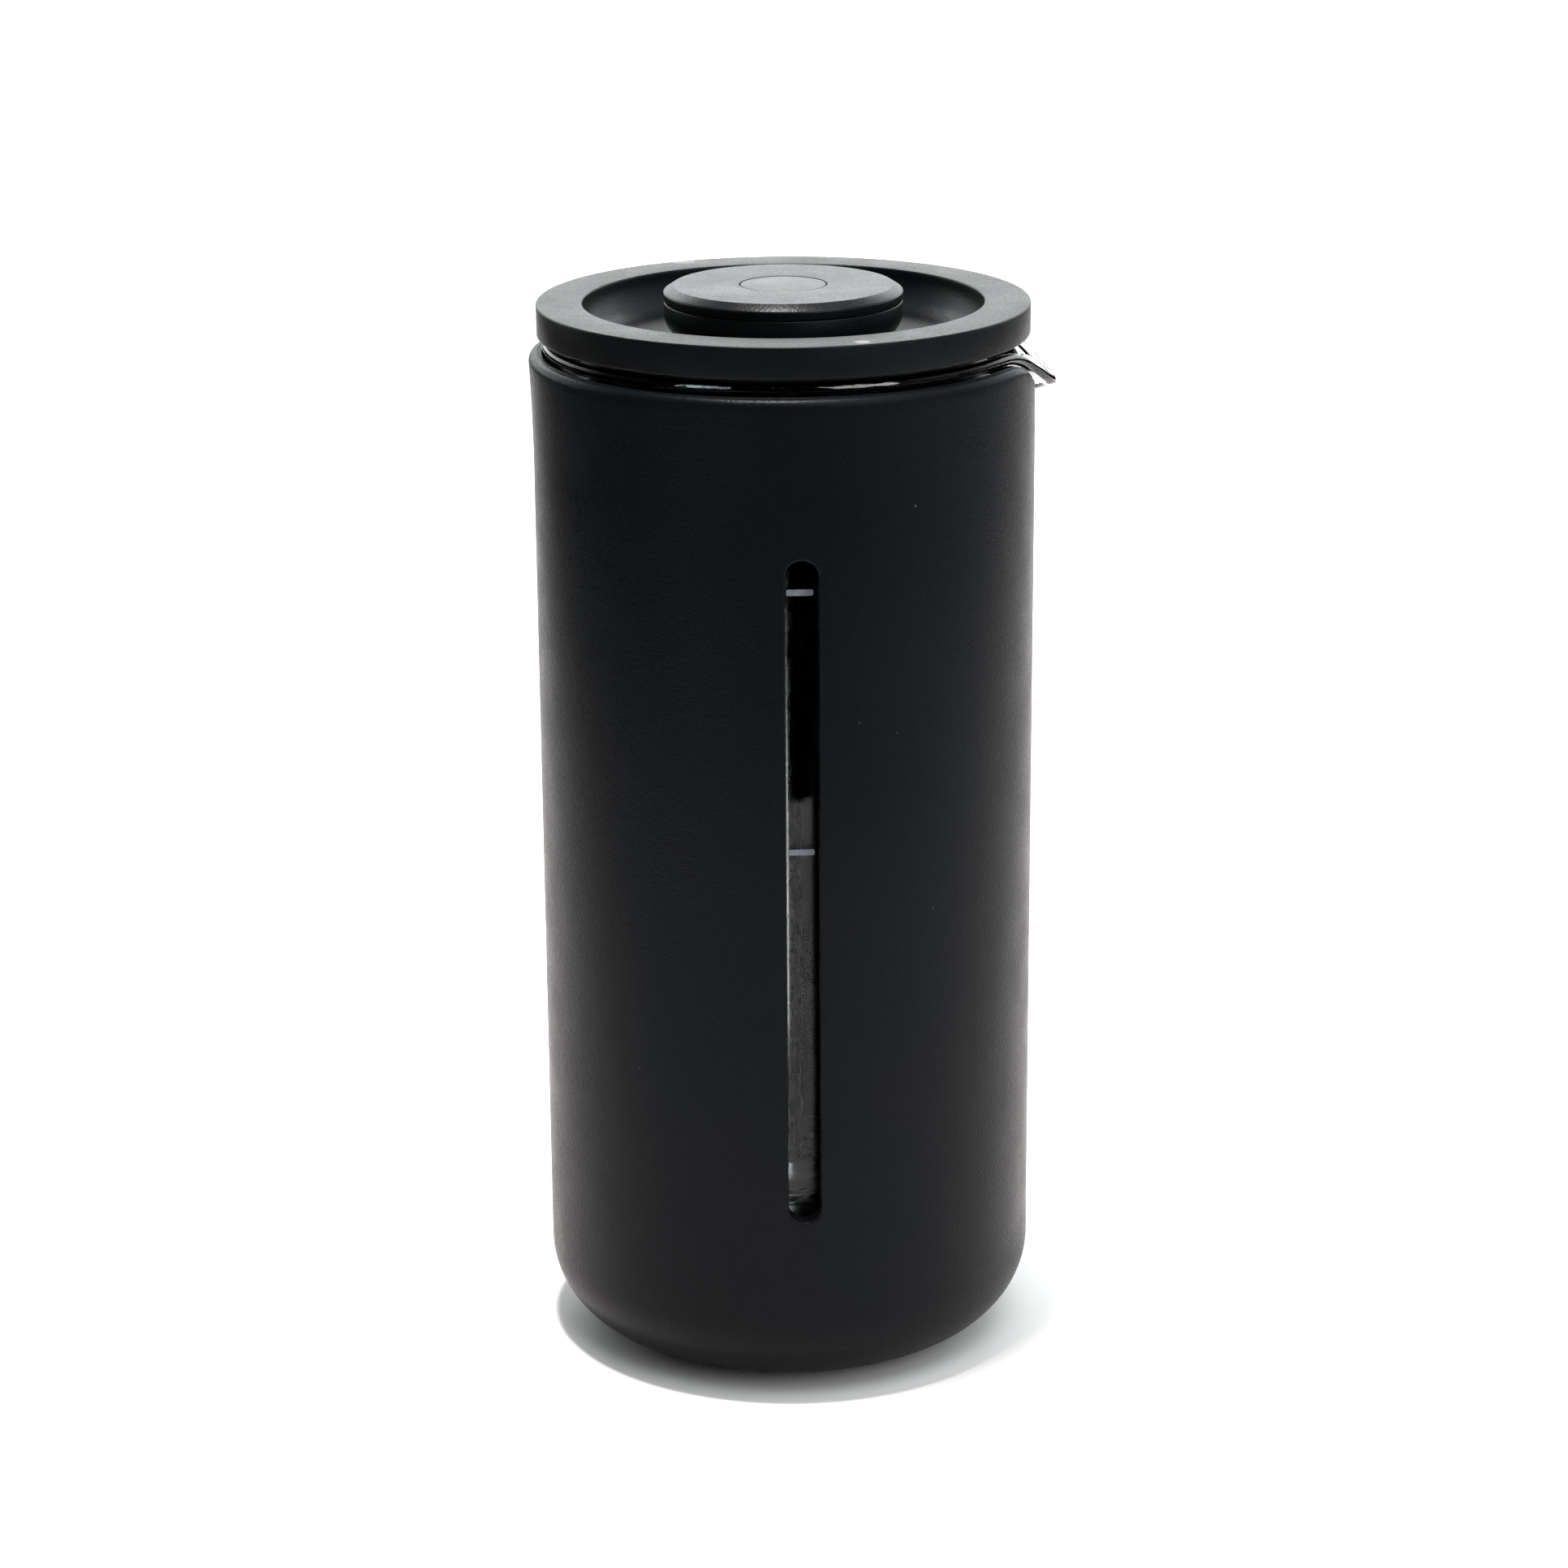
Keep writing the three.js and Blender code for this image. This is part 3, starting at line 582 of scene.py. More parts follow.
SLEEVE_R = 42
SLEEVE_WALL = 3.4
SLEEVE_BORE = SLEEVE_R - SLEEVE_WALL
FOOT_Z = extent("sleeve")[1]
CREST_Z = extent("sleeve")[2]
CORNER_R = 14.7
SLEEVE_FLOOR_Z = 4.2
POCKET_R = 24.3
POCKET_Z = 1.7
POCKET_EDGE = 0.3
SHOULDER_R = 1.4
PARTING_LINE = 0.07
LAND_DROP = 0.05
LAND_WIDTH = 0.2
INNER_EDGE_R = 0.45
RIM_BORE = 40.1
RIM_BORE_Z = 162.3
BORE_STEP_Z = 160.8
BORE_STEP_EDGE = 0.8
FLARE_FROM_Z = 155
FLARE = 0.5
FLARE_POWER = 1.7
FLARE_RELIEF = 1.5
RELIEF_DEG = 20
FLARE_PARTS = (0, 0.2, 0.4, 0.55, 0.7, 0.82, 0.92)
SPOUT_GAP = 0.45
DIP_BLEND = 0.3
DIP_STEPS = 16
WALL_ROWS_Z = (20, 26)

# Sight window: the slot itself, and the cells of the wall that are cut away round it.
WINDOW_DEG = -90
WINDOW_HALF = 2.72
WINDOW_Z = (33.25, 147.05)
WINDOW_EDGE = 0.4
WINDOW_CELLS_DEG = 7.2
WINDOW_COLUMNS = 16
WINDOW_LOW_ROWS = [31.8, 33.4, 34.8, 36.2, 37.6]
WINDOW_HIGH_ROWS = [142.6, 144.0, 145.4, 147.0, 148.6]
WINDOW_ROWS = WINDOW_LOW_ROWS + between(WINDOW_LOW_ROWS[-1], WINDOW_HIGH_ROWS[0], 25) + WINDOW_HIGH_ROWS

# Glass beaker: half the wall lies on each side of its middle line.
GLASS_MID_R = 36
HALF_WALL = 0.95
GLASS_OUTER = GLASS_MID_R + HALF_WALL
GLASS_BORE = GLASS_MID_R - HALF_WALL
GLASS_BOTTOM_Z = extent("glass_beaker")[1]
GLASS_FLOOR_Z = 9.4
GLASS_CORNER_R = 9
SPOUT_STEPS = 20
SPOUT_SIDE_DEG = 14.7
CHANNEL_DEG = 7

# Points that guide the beaker's mouth, from the wall to the rim: [r, z], and how far the spout moves each.
WALL_TOP_Z = 158
RIM_Z = 174.3
MOUTH = (
    ((GLASS_MID_R, WALL_TOP_Z), (0, -3)),
    ((GLASS_MID_R, 167.4), (0.2, -3.9)),
    ((37.2, 172.5), (2.8, 9.1)),
    ((39.3, RIM_Z), (5.6, -7.35)),
)
CHANNEL_DROP = 15


def bezier(p, t):
    s = 1 - t
    weights = (s**3, 3 * s * s * t, 3 * s * t * t, t**3)
    return Vector([sum(w * q[k] for w, q in zip(weights, p)) for k in range(2)])


def mouth_points(degrees):
    """Control points of the glass mouth's middle line in one direction from the spout."""
    side, channel = bell(degrees, SPOUT_SIDE_DEG), bell(degrees, CHANNEL_DEG)
    points = [[r + out * side, z + up * side] for (r, z), (out, up) in MOUTH]
    points[2][1] -= CHANNEL_DROP * channel
    return points


def mouth_line(degrees, offset, steps):
    """The middle line moved sideways: outwards or down for a positive offset."""
    control = mouth_points(degrees)
    line = []
    for i in range(steps + 1):
        t = i / steps
        along = bezier(control, min(t + 0.002, 1)) - bezier(control, max(t - 0.002, 0))
        along.normalize()
        here = bezier(control, t)
        line.append((here.x + along.y * offset, here.y - along.x * offset))
    return line


def mouth_edge(degrees, steps):
    """The rounded edge of the glass, from its outer side to its inner side."""
    control = mouth_points(degrees)
    end = bezier(control, 1)
    along = (end - bezier(control, 0.998)).normalized()
    edge = []
    for k in range(1, steps):
        a = math.radians(90 - 180 * k / steps)
        ahead, side = HALF_WALL * math.cos(a), HALF_WALL * math.sin(a)
        edge.append((end.x + along.x * ahead + along.y * side, end.y + along.y * ahead - along.x * side))
    return edge


def spout_underside(line, radius):
    """Lowest point of the glass above a radius, or far above the press where there is no glass."""
    lowest = 2 * CREST_Z
    for (r0, z0), (r1, z1) in zip(line, line[1:]):
        if (r0 - radius) * (r1 - radius) <= 0 and r0 != r1:
            lowest = min(lowest, z0 + (radius - r0) / (r1 - r0) * (z1 - z0))
    return lowest


def sleeve_radius(degrees, z):
    rise = max(0, z - FLARE_FROM_Z) / (CREST_Z - SHOULDER_R - FLARE_FROM_Z)
    return SLEEVE_R + FLARE * rise**FLARE_POWER * (1 - FLARE_RELIEF * bell(degrees, RELIEF_DEG))


def crest_height(degrees):
    """Height of the sleeve's crest, which dips under the glass's spout."""
    line = mouth_line(degrees, HALF_WALL, 24) + mouth_edge(degrees, 6)
    reach = sleeve_radius(degrees, CREST_Z - SHOULDER_R) - RIM_BORE
    radii = [RIM_BORE + reach * k / DIP_STEPS for k in range(DIP_STEPS + 1)]
    lowest = min(spout_underside(line, radius) for radius in radii)
    return soft_min(CREST_Z, lowest - SPOUT_GAP, DIP_BLEND)


def sleeve_rim(degrees):
    """The rounded rim, from the outer wall over the crest and its parting line to the wider bore."""
    crest = crest_height(degrees)
    crest_r = sleeve_radius(degrees, crest - SHOULDER_R) - SHOULDER_R
    rim = arc((crest_r, crest - SHOULDER_R), SHOULDER_R, 0, 90, 9)
    rim += [(crest_r - PARTING_LINE, crest + PARTING_LINE), (crest_r - 2 * PARTING_LINE, crest)]
    land_r, land_z = RIM_BORE + INNER_EDGE_R, crest - LAND_DROP
    inner = arc((land_r, land_z - INNER_EDGE_R), INNER_EDGE_R, 90, 180, 6)
    inner[0] = (min(land_r, crest_r - LAND_WIDTH), inner[0][1])
    return rim + inner


def sleeve_section(degrees):
    """The sleeve's section, and the rows at which its outer and inner window levels start."""
    rim = sleeve_rim(degrees)
    wall = [FLARE_FROM_Z + part * (rim[0][1] - FLARE_FROM_Z) for part in FLARE_PARTS]
    corner = CORNER_R - SLEEVE_WALL
    section = [(0, POCKET_Z), (POCKET_R, POCKET_Z), (POCKET_R, FOOT_Z + POCKET_EDGE)]
    section.append((POCKET_R + POCKET_EDGE, FOOT_Z))
    section += arc((SLEEVE_R - CORNER_R, FOOT_Z + CORNER_R), CORNER_R, -90, 0, 20)
    section += [(SLEEVE_R, z) for z in WALL_ROWS_Z]
    outer_start = len(section)
    section += [(SLEEVE_R, z) for z in WINDOW_ROWS]
    section += [(sleeve_radius(degrees, z), z) for z in wall]
    section += rim
    section += soften([
        rim[-1], (RIM_BORE, RIM_BORE_Z, BORE_STEP_EDGE), (SLEEVE_BORE, BORE_STEP_Z, BORE_STEP_EDGE),
        (SLEEVE_BORE, WALL_TOP_Z),
    ], 3, False)[1:]
    inner_start = len(section)
    section += [(SLEEVE_BORE, z) for z in reversed(WINDOW_ROWS)]
    section += arc((SLEEVE_BORE - corner, SLEEVE_FLOOR_Z + corner), corner, 0, -90, 12)
    section.append((0, SLEEVE_FLOOR_Z))
    return section, outer_start, inner_start


def sleeve_angles():
    """Directions from the spout: fine near it and across the window. Also the window's first column."""
    facing = WINDOW_DEG + 360
    first, last = facing - WINDOW_CELLS_DEG, facing + WINDOW_CELLS_DEG
    angles = list(range(-45, 45))
    angles += [a for a in range(45, facing, 3) if a < first]
    start = len(angles)
    angles += [first + (last - first) * i / WINDOW_COLUMNS for i in range(WINDOW_COLUMNS + 1)]
    angles += range(facing + 9, 315, 3)
    return angles, start


def build_sleeve():
    angles, first = sleeve_angles()
    sections = [sleeve_section(a - 360 if a > 180 else a) for a in angles]
    starts = sections[0][1:]
    sections = [section for section, _, _ in sections]
    vertices, faces = grid(sections, angles)
    slot = Slot(WINDOW_DEG, WINDOW_HALF, *WINDOW_Z, WINDOW_EDGE)
    faces = cut_slots(
        vertices, faces, len(sections[0]), [(slot, first, first + WINDOW_COLUMNS)],
        starts, len(WINDOW_ROWS), (SLEEVE_R, SLEEVE_BORE),
    )
    mesh_piece("sleeve_shell", vertices, faces, SLEEVE_BLACK, "sleeve")


# ---------------- silicone under and round the glass

PAD_INSET = 0.1
CUSHION_GROOVES = ((24.4, 22.4), (12, 10))
CUSHION_GROOVE_DEPTH = 0.6
GASKET_CLEAR = 0.25
GASKET_LIP = 0.4


def build_silicone():
    pad_r, low, high = extent("base_pad")
    pad_r -= PAD_INSET
    turned("foot_pad", soften(
        [(0, low), (pad_r, low, 0.4), (pad_r, high), (0, high)], closed=False,
    ), SEAL_BLACK, "base_pad")
    radius, low, high = extent("bottom_cushion")
    deep = high - CUSHION_GROOVE_DEPTH
    outline = [(0, low), (radius, low, 0.4), (radius, high, 0.8)]
    for outer, inner in CUSHION_GROOVES:
        outline += [(outer, high, 0.5), (outer - 0.2, deep, 0.3)]
        outline += [(inner + 0.2, deep, 0.3), (inner, high, 0.5)]
    outline = soften(outline + [(0, high)], 4, False)
    turned("floor_cushion", outline, SEAL_BLACK, "bottom_cushion")
    build_gasket()


def build_gasket():
    """A ring with two lips towards the glass."""
    outer, low, high = extent("rim_gasket")
    inner = GLASS_OUTER + GASKET_CLEAR
    root = inner + GASKET_LIP
    lip = (high - low) / 4
    turned("rim_gasket_ring", soften(
        [(root, low, 0.1), (outer, low, 0.3), (outer, high, 0.3), (root, high, 0.1),
         (inner, high - lip, 0.3), (root, high - 2 * lip, 0.2), (inner, low + lip, 0.3)], 3,
    ), SEAL_BLACK, "rim_gasket", ring=True)


# ---------------- glass

PUNT_RISE = 0.5
LEVEL_MARKS = (("upper", 140.15, 141.2), ("lower", 96.3, 97.3))
MARK_HALF = 2.2
MARK_CORNER = 0.15
MARK_COLUMNS = 16
MARK_STANDS = (0.01, 0.06)


def glass_section(degrees):
    corner = GLASS_CORNER_R - 2 * HALF_WALL
    walls = [20 + 22.5 * i for i in range(6)]
    bottom = GLASS_BOTTOM_Z
    section = [(0, bottom + PUNT_RISE), (14, bottom + 0.8 * PUNT_RISE), (22, bottom + 0.2 * PUNT_RISE)]
    section.append((25.5, bottom))
    section += arc((GLASS_OUTER - GLASS_CORNER_R, bottom + GLASS_CORNER_R), GLASS_CORNER_R, -90, 0, 12)
    section += [(GLASS_OUTER, z) for z in walls]
    section += mouth_line(degrees, HALF_WALL, SPOUT_STEPS)
    section += mouth_edge(degrees, 12)
    section += reversed(mouth_line(degrees, -HALF_WALL, SPOUT_STEPS))
    section += [(GLASS_BORE, z) for z in reversed(walls)]
    section += arc((GLASS_BORE - corner, GLASS_FLOOR_Z + corner), corner, 0, -90, 10)
    section += [(18, GLASS_FLOOR_Z), (0, GLASS_FLOOR_Z)]
    return section


def build_glass():
    angles = [-48 + i for i in range(96)] + [48 + 2 * i for i in range(132)]
    sections = [glass_section(a - 360 if a > 180 else a) for a in angles]
    vertices, faces = grid(sections, angles)
    mesh_piece("beaker", vertices, faces, GLASS, "glass_beaker", sharp=60)
    for label, low, high in LEVEL_MARKS:
        level_mark("level_mark_" + label, low, high)


def level_mark(name, low, high):
    """A short printed bar on the outer wall of the beaker, facing the window."""
    inner, outer = [GLASS_OUTER + stand for stand in MARK_STANDS]
    outline = []
    for i in range(MARK_COLUMNS + 1):
        side = -MARK_HALF + 2 * MARK_HALF * i / MARK_COLUMNS
        inset = MARK_CORNER if i in (0, MARK_COLUMNS) else 0
        outline.append((side, low + inset, high - inset))
    vertices, faces = [], []
    for side, bottom, top in outline:
        a = math.radians(WINDOW_DEG) + side / outer
        for radius, z in ((outer, bottom), (outer, top), (inner, top), (inner, bottom)):
            vertices.append((radius * math.cos(a), radius * math.sin(a), z))
    for i in range(MARK_COLUMNS):
        for k in range(4):
            j = (k + 1) % 4
            faces.append((4 * i + k, 4 * i + 4 + k, 4 * i + 4 + j, 4 * i + j))
    faces.append((0, 1, 2, 3))
    last = 4 * MARK_COLUMNS
    faces.append((last, last + 3, last + 2, last + 1))
    mesh_piece(name, vertices, faces, PRINT, "glass_beaker", extra=True)


# ---------------- lid

LID_R, LID_LOW_Z, LID_TOP_Z = extent("lid_body")
LID_EDGE_R = 0.3
LID_UNDER_Z = 176.15
LID_SEAT_R = 39.4
LID_SEAT_Z = 175.55
SEAT_EDGE = 0.1
RECESS_R = 33.4
RECESS_EDGE_R = 0.35
RECESS_FLOOR_Z = 175
RECESS_FILLET = 5.4
DISH_R = 35.2
DISH_CORNER_R = 2.3
BUSH_HOLE_R = 4.4
GROOVE_R = 33
SEAL_BORE_CLEAR = 0.25
SEAL_ROOT = 0.55

# Lid plug: a tube with a flange on top, a groove for the seal, and strainer slots.
PLUG_R, PLUG_LOW_Z, PLUG_TOP_Z = extent("lid_skirt")
PLUG_BORE = 32.1
GROOVE_Z = (158.6, 162)
FLANGE_R = 29.1
FLANGE_THICK = 1.4
TAPER = (2.7, 1.7)
STRAINER_SLOTS = 7
STRAINER_PITCH = 3.6
STRAINER_HALF = 0.9
STRAINER_Z = (164.2, 170.6)
STRAINER_EDGE = 0.15
STRAINER_ROWS = [163.5, 164.15, 164.8, 165.6, 167.4, 169.2, 170.0, 170.65, 171.0]
STRAINER_COLUMNS = 6
PLAIN_COLUMNS = 45


def build_lid():
    dish_centre = (DISH_R - DISH_CORNER_R, LID_LOW_Z + DISH_CORNER_R)
    outline = [(BUSH_HOLE_R, LID_LOW_Z)]
    outline += arc(dish_centre, DISH_CORNER_R, -90, 0, 8)[:-1]
    outline += [(DISH_R, LID_SEAT_Z - 0.25), (DISH_R + 0.2, LID_SEAT_Z), (LID_SEAT_R - SEAT_EDGE, LID_SEAT_Z)]
    outline += [(LID_SEAT_R, LID_SEAT_Z + SEAT_EDGE), (LID_SEAT_R, LID_UNDER_Z - SEAT_EDGE / 2)]
    outline.append((LID_SEAT_R + SEAT_EDGE / 2, LID_UNDER_Z))
    outline += arc((LID_R - LID_EDGE_R, LID_UNDER_Z + LID_EDGE_R), LID_EDGE_R, -90, 0, 5)
    outline += arc((LID_R - LID_EDGE_R, LID_TOP_Z - LID_EDGE_R), LID_EDGE_R, 0, 90, 5)
    outline += arc((RECESS_R + RECESS_EDGE_R, LID_TOP_Z - RECESS_EDGE_R), RECESS_EDGE_R, 90, 180, 5)
    outline += arc((RECESS_R - RECESS_FILLET, RECESS_FLOOR_Z + RECESS_FILLET), RECESS_FILLET, 0, -90, 14)
    outline += [(7, RECESS_FLOOR_Z), (BUSH_HOLE_R, RECESS_FLOOR_Z)]
    turned("lid_dish", outline, LID_BLACK, "lid_body", ring=True)
    build_plug()
    build_lid_seal()


def build_lid_seal():
    lip, low, high = extent("lid_seal")
    inner, root = GROOVE_R + SEAL_BORE_CLEAR, lip - SEAL_ROOT
    turned("lid_seal_ring", soften(
        [(inner, low, 0.2), (root, low, 0.15), (lip, low + 0.5, 0.18), (root, low + 1.1, 0.2),
         (root, high - 1.1, 0.2), (lip, high - 0.5, 0.18), (root, high, 0.15), (inner, high, 0.2)], 3,
    ), SEAL_CLEAR, "lid_seal", ring=True)


def plug_section():
    """The plug's section, and the rows at which its outer and inner slot levels start."""
    groove_low, groove_high = GROOVE_Z
    section = soften([
        (PLUG_BORE, PLUG_LOW_Z, 0.3), (PLUG_R, PLUG_LOW_Z, 0.5), (PLUG_R, groove_low, 0.15),
        (GROOVE_R, groove_low, 0.15), (GROOVE_R, groove_high, 0.15), (PLUG_R, groove_high, 0.15),
    ], 3)
    outer_start = len(section)
    section += [(PLUG_R, z) for z in STRAINER_ROWS]
    taper_in, taper_down = TAPER
    flange_z = PLUG_TOP_Z - FLANGE_THICK
    section += [(PLUG_R, PLUG_TOP_Z - taper_down), (PLUG_R - taper_in, PLUG_TOP_Z), (FLANGE_R, PLUG_TOP_Z)]
    section += [(FLANGE_R, flange_z), (PLUG_BORE, flange_z)]
    inner_start = len(section)
    section += [(PLUG_BORE, z) for z in reversed(STRAINER_ROWS)]
    return section, outer_start, inner_start


def plug_angles(pitch):
    """Directions round the plug: fine across the slots of each side, coarser between the sides."""
    slotted = STRAINER_SLOTS * pitch
    angles = []
    for side in (0, 180):
        first = side - slotted / 2
        angles += [first + pitch * i / STRAINER_COLUMNS for i in range(STRAINER_SLOTS * STRAINER_COLUMNS + 1)]
        angles += [first + slotted + (180 - slotted) * i / PLAIN_COLUMNS for i in range(1, PLAIN_COLUMNS)]
    return angles


def build_plug():
    """The lid's plug, with seven round-ended strainer slots on each of two sides."""
    pitch = math.degrees(STRAINER_PITCH / PLUG_R)
    angles = plug_angles(pitch)
    section, *starts = plug_section()
    vertices, faces = grid([section] * len(angles), angles, ring=True)
    slots = []
    for side in range(2):
        for n in range(STRAINER_SLOTS):
            centre = 180 * side + pitch * (n - STRAINER_SLOTS // 2)
            first = side * len(angles) // 2 + n * STRAINER_COLUMNS
            slot = Slot(centre, STRAINER_HALF, *STRAINER_Z, STRAINER_EDGE)
            slots.append((slot, first, first + STRAINER_COLUMNS))
    faces = cut_slots(
        vertices, faces, len(section), slots, starts, len(STRAINER_ROWS), (PLUG_R, PLUG_BORE)
    )
    mesh_piece("lid_plug", vertices, faces, LID_BLACK, "lid_skirt")


# ---------------- rod guide in the lid

BUSH_BORE = 2.55
BUSH_R = 4.2
BUSH_SHOULDER_Z = 175.1
ORING_GROOVE_R = 3.6
ORING_GROOVE_Z = (170.5, 171.6)
ORING_MID = (3.06, 171.05)
ORING_WIRE_R = 0.44
CLIP_TEETH_R = (4.3, 5.6)
CLIP_TEETH = 6
CLIP_STEPS = 144
CLIP_TIP_STEPS = 15


def build_rod_guide():
    flange, low, high = extent("rod_bush")
    groove_low, groove_high = ORING_GROOVE_Z
    turned("guide_bush", soften(
        [(BUSH_BORE, low, 0.2), (BUSH_R, low, 0.3), (BUSH_R, BUSH_SHOULDER_Z), (flange, BUSH_SHOULDER_Z, 0.1),
         (flange, high, 0.35), (BUSH_BORE, high, 0.2), (BUSH_BORE, groove_high, 0.1),
         (ORING_GROOVE_R, groove_high), (ORING_GROOVE_R, groove_low), (BUSH_BORE, groove_low, 0.1)], 4,
    ), LID_BLACK, "rod_bush", SMALL, True)
    turned("guide_seal", arc(ORING_MID, ORING_WIRE_R, 0, 345, 23),
           SEAL_BLACK, "guide_oring", SMALL, True)
    tips, roots = [circle(radius, CLIP_STEPS) for radius in CLIP_TEETH_R]
    spacing = CLIP_STEPS // CLIP_TEETH
    notches = [tips[i] if i % spacing < CLIP_TIP_STEPS else roots[i] for i in range(CLIP_STEPS)]
    radius, low, high = extent("bush_retainer")
    plate("bush_clip", [circle(radius, 96), notches], low, high, 0.12, STEEL, "bush_retainer")


# ---------------- knob

KNOB_R, _, KNOB_TOP_Z = extent("knob_cap")
KNOB_BOTTOM_Z = extent("knob_body")[1]
KNOB_SEAM_Z = 181.4
SEAM_HALF = 0.05
KNOB_EDGE_Z = 182.95
KNOB_TOP_R = 18.3
KNOB_FILLET = 4.2
KNOB_INSET = 0.1
CAP_RIB_R = (15.2, 16.8)
CAP_RIB_Z = 179.9
DISC_HOLE_R = 7.3
DISC_FLOOR_DROP = 0.9
BODY_POCKET_R = 17
BODY_POCKET_Z = 178.3
HUB_R = 8
HUB_TOP_Z = 176.4
BOSS_R = (4.3, 6.2)
BOSS_Z = (177.2, 180.4)
ROD_HOLE_R = 2.6
THREAD_HOLE_R = 2


def build_knob():
    build_knob_cap()
    build_knob_body()
    outer, low, high = extent("knob_insert")
    middle, neck = (low + high) / 2, outer - 0.3
    turned("thread_insert", soften(
        [(THREAD_HOLE_R, low, 0.2), (outer, low, 0.3), (outer, middle - 0.35, 0.1),
         (neck, middle - 0.15, 0.1), (neck, middle + 0.15, 0.1), (outer, middle + 0.35, 0.1),
         (outer, high, 0.3), (THREAD_HOLE_R, high, 0.2)], 3,
    ), BRASS, "knob_insert", SMALL, True)


def build_knob_cap():
    """The chamfered upper half, and the plain disc let into it."""
    top, seam = KNOB_TOP_Z, KNOB_SEAM_Z + SEAM_HALF
    rib_in, rib_out = CAP_RIB_R
    turned("knob_upper", soften(
        [(0, seam), (rib_in, seam), (rib_in, CAP_RIB_Z), (rib_out, CAP_RIB_Z), (rib_out, seam),
         (KNOB_R - 0.08, seam, 0.14), (KNOB_R, KNOB_EDGE_Z, 0.5), (KNOB_TOP_R, top, 0.35),
         (DISC_HOLE_R + 0.02, top, 0.12), (DISC_HOLE_R - 0.02, top - DISC_FLOOR_DROP),
         (0, top - DISC_FLOOR_DROP)], 5, False,
    ), KNOB_BLACK, "knob_cap")
    radius, low = extent("knob_badge")[0], top - DISC_FLOOR_DROP + 0.05
    turned("knob_disc", soften(
        [(0, low), (radius, low), (radius, top - 0.04, 0.1), (0, top - 0.04)], 4, False,
    ), BADGE, "knob_badge")


def build_knob_body():
    """The rounded lower half, hollow round the boss that holds the insert."""
    side, seam = KNOB_R - KNOB_INSET, KNOB_SEAM_Z - SEAM_HALF
    fillet_z = KNOB_BOTTOM_Z + KNOB_FILLET
    boss_in, boss_out = BOSS_R
    boss_low, boss_high = BOSS_Z
    body = [(HUB_R, KNOB_BOTTOM_Z)] + arc((side - KNOB_FILLET, fillet_z), KNOB_FILLET, -90, 0, 14)
    body += soften(
        [(side, fillet_z + 0.1), (side, seam, 0.2), (BODY_POCKET_R, seam)], 4, False
    )[1:]
    body += [(BODY_POCKET_R, BODY_POCKET_Z), (boss_out, BODY_POCKET_Z), (boss_out, boss_high)]
    body += [(boss_in, boss_high), (boss_in, boss_low), (ROD_HOLE_R, boss_low)]
    body += [(ROD_HOLE_R, HUB_TOP_Z), (HUB_R, HUB_TOP_Z)]
    turned("knob_lower", body, KNOB_BLACK, "knob_body", ring=True)


# ---------------- plunger

ROD_R, ROD_LOW_Z, ROD_TOP_Z = extent("plunger_rod")
THREAD_R = 1.9
ROD_SHOULDER_Z = 24.3
ROD_NECK_Z = 177.1
COLLAR_BORE = 2.5
COLLAR_TOP_R = 4.4
COLLAR_BAND = 2.2
STACK_HOLE_R = 2.1
PLATE_HUB_R = 8
OUTER_DRAIN = (10, 24, 2.4)
INNER_DRAIN = (6, 15, 2.2)
FAN_R = (10, 28)
FAN_HALF_DEG = 22
FANS = 6
WIPER_BORE = 31.4
NUT_FLAT = 4.68
NUT_THREAD_R = 2
NUT_THREAD_LOW_Z = 13
NUT_STEPS = 72


def build_rod():
    turned("push_rod", soften(
        [(0, ROD_LOW_Z), (THREAD_R, ROD_LOW_Z, 0.4), (THREAD_R, ROD_SHOULDER_Z), (ROD_R, ROD_SHOULDER_Z, 0.2),
         (ROD_R, ROD_NECK_Z, 0.3), (THREAD_R, ROD_NECK_Z), (THREAD_R, ROD_TOP_Z, 0.4), (0, ROD_TOP_Z)],
        4, False,
    ), STEEL, "plunger_rod", SMALL)
    radius, low, high = extent("rod_collar")
    turned("stop_collar", soften(
        [(COLLAR_BORE, low, 0.1), (radius, low, 0.3), (radius, low + COLLAR_BAND, 0.4),
         (COLLAR_TOP_R, high, 0.5), (COLLAR_BORE, high, 0.2)], 5,
    ), STEEL_TURNED, "rod_collar", SMALL, True)


def fan_window(centre_deg):
    """A window between two spokes: half of its outline in [r, degrees], mirrored about its middle line."""
    inner_r, outer_r = FAN_R
    half = FAN_HALF_DEG
    outer = [(outer_r, (half - 3) * i / 6) for i in range(7)]
    corners = [(outer_r - 0.3, half - 1.2), (outer_r - 1.4, half - 0.4), (inner_r + 2, half - 4)]
    corners.append((inner_r + 0.4, half - 5.6))
    inner = [(inner_r, (half - 9) * i / 3) for i in (3, 2, 1, 0)]
    side = outer + corners + inner
    polar = [(r, -turn) for r, turn in reversed(side[1:])] + side[:-1]
    turns = [(r, math.radians(centre_deg + turn)) for r, turn in polar]
    return [(r * math.cos(a), r * math.sin(a)) for r, a in turns]


def hole_ring(count, pitch_radius, radius):
    return [circle(radius, 28, centre) for centre in circle(pitch_radius, count)]


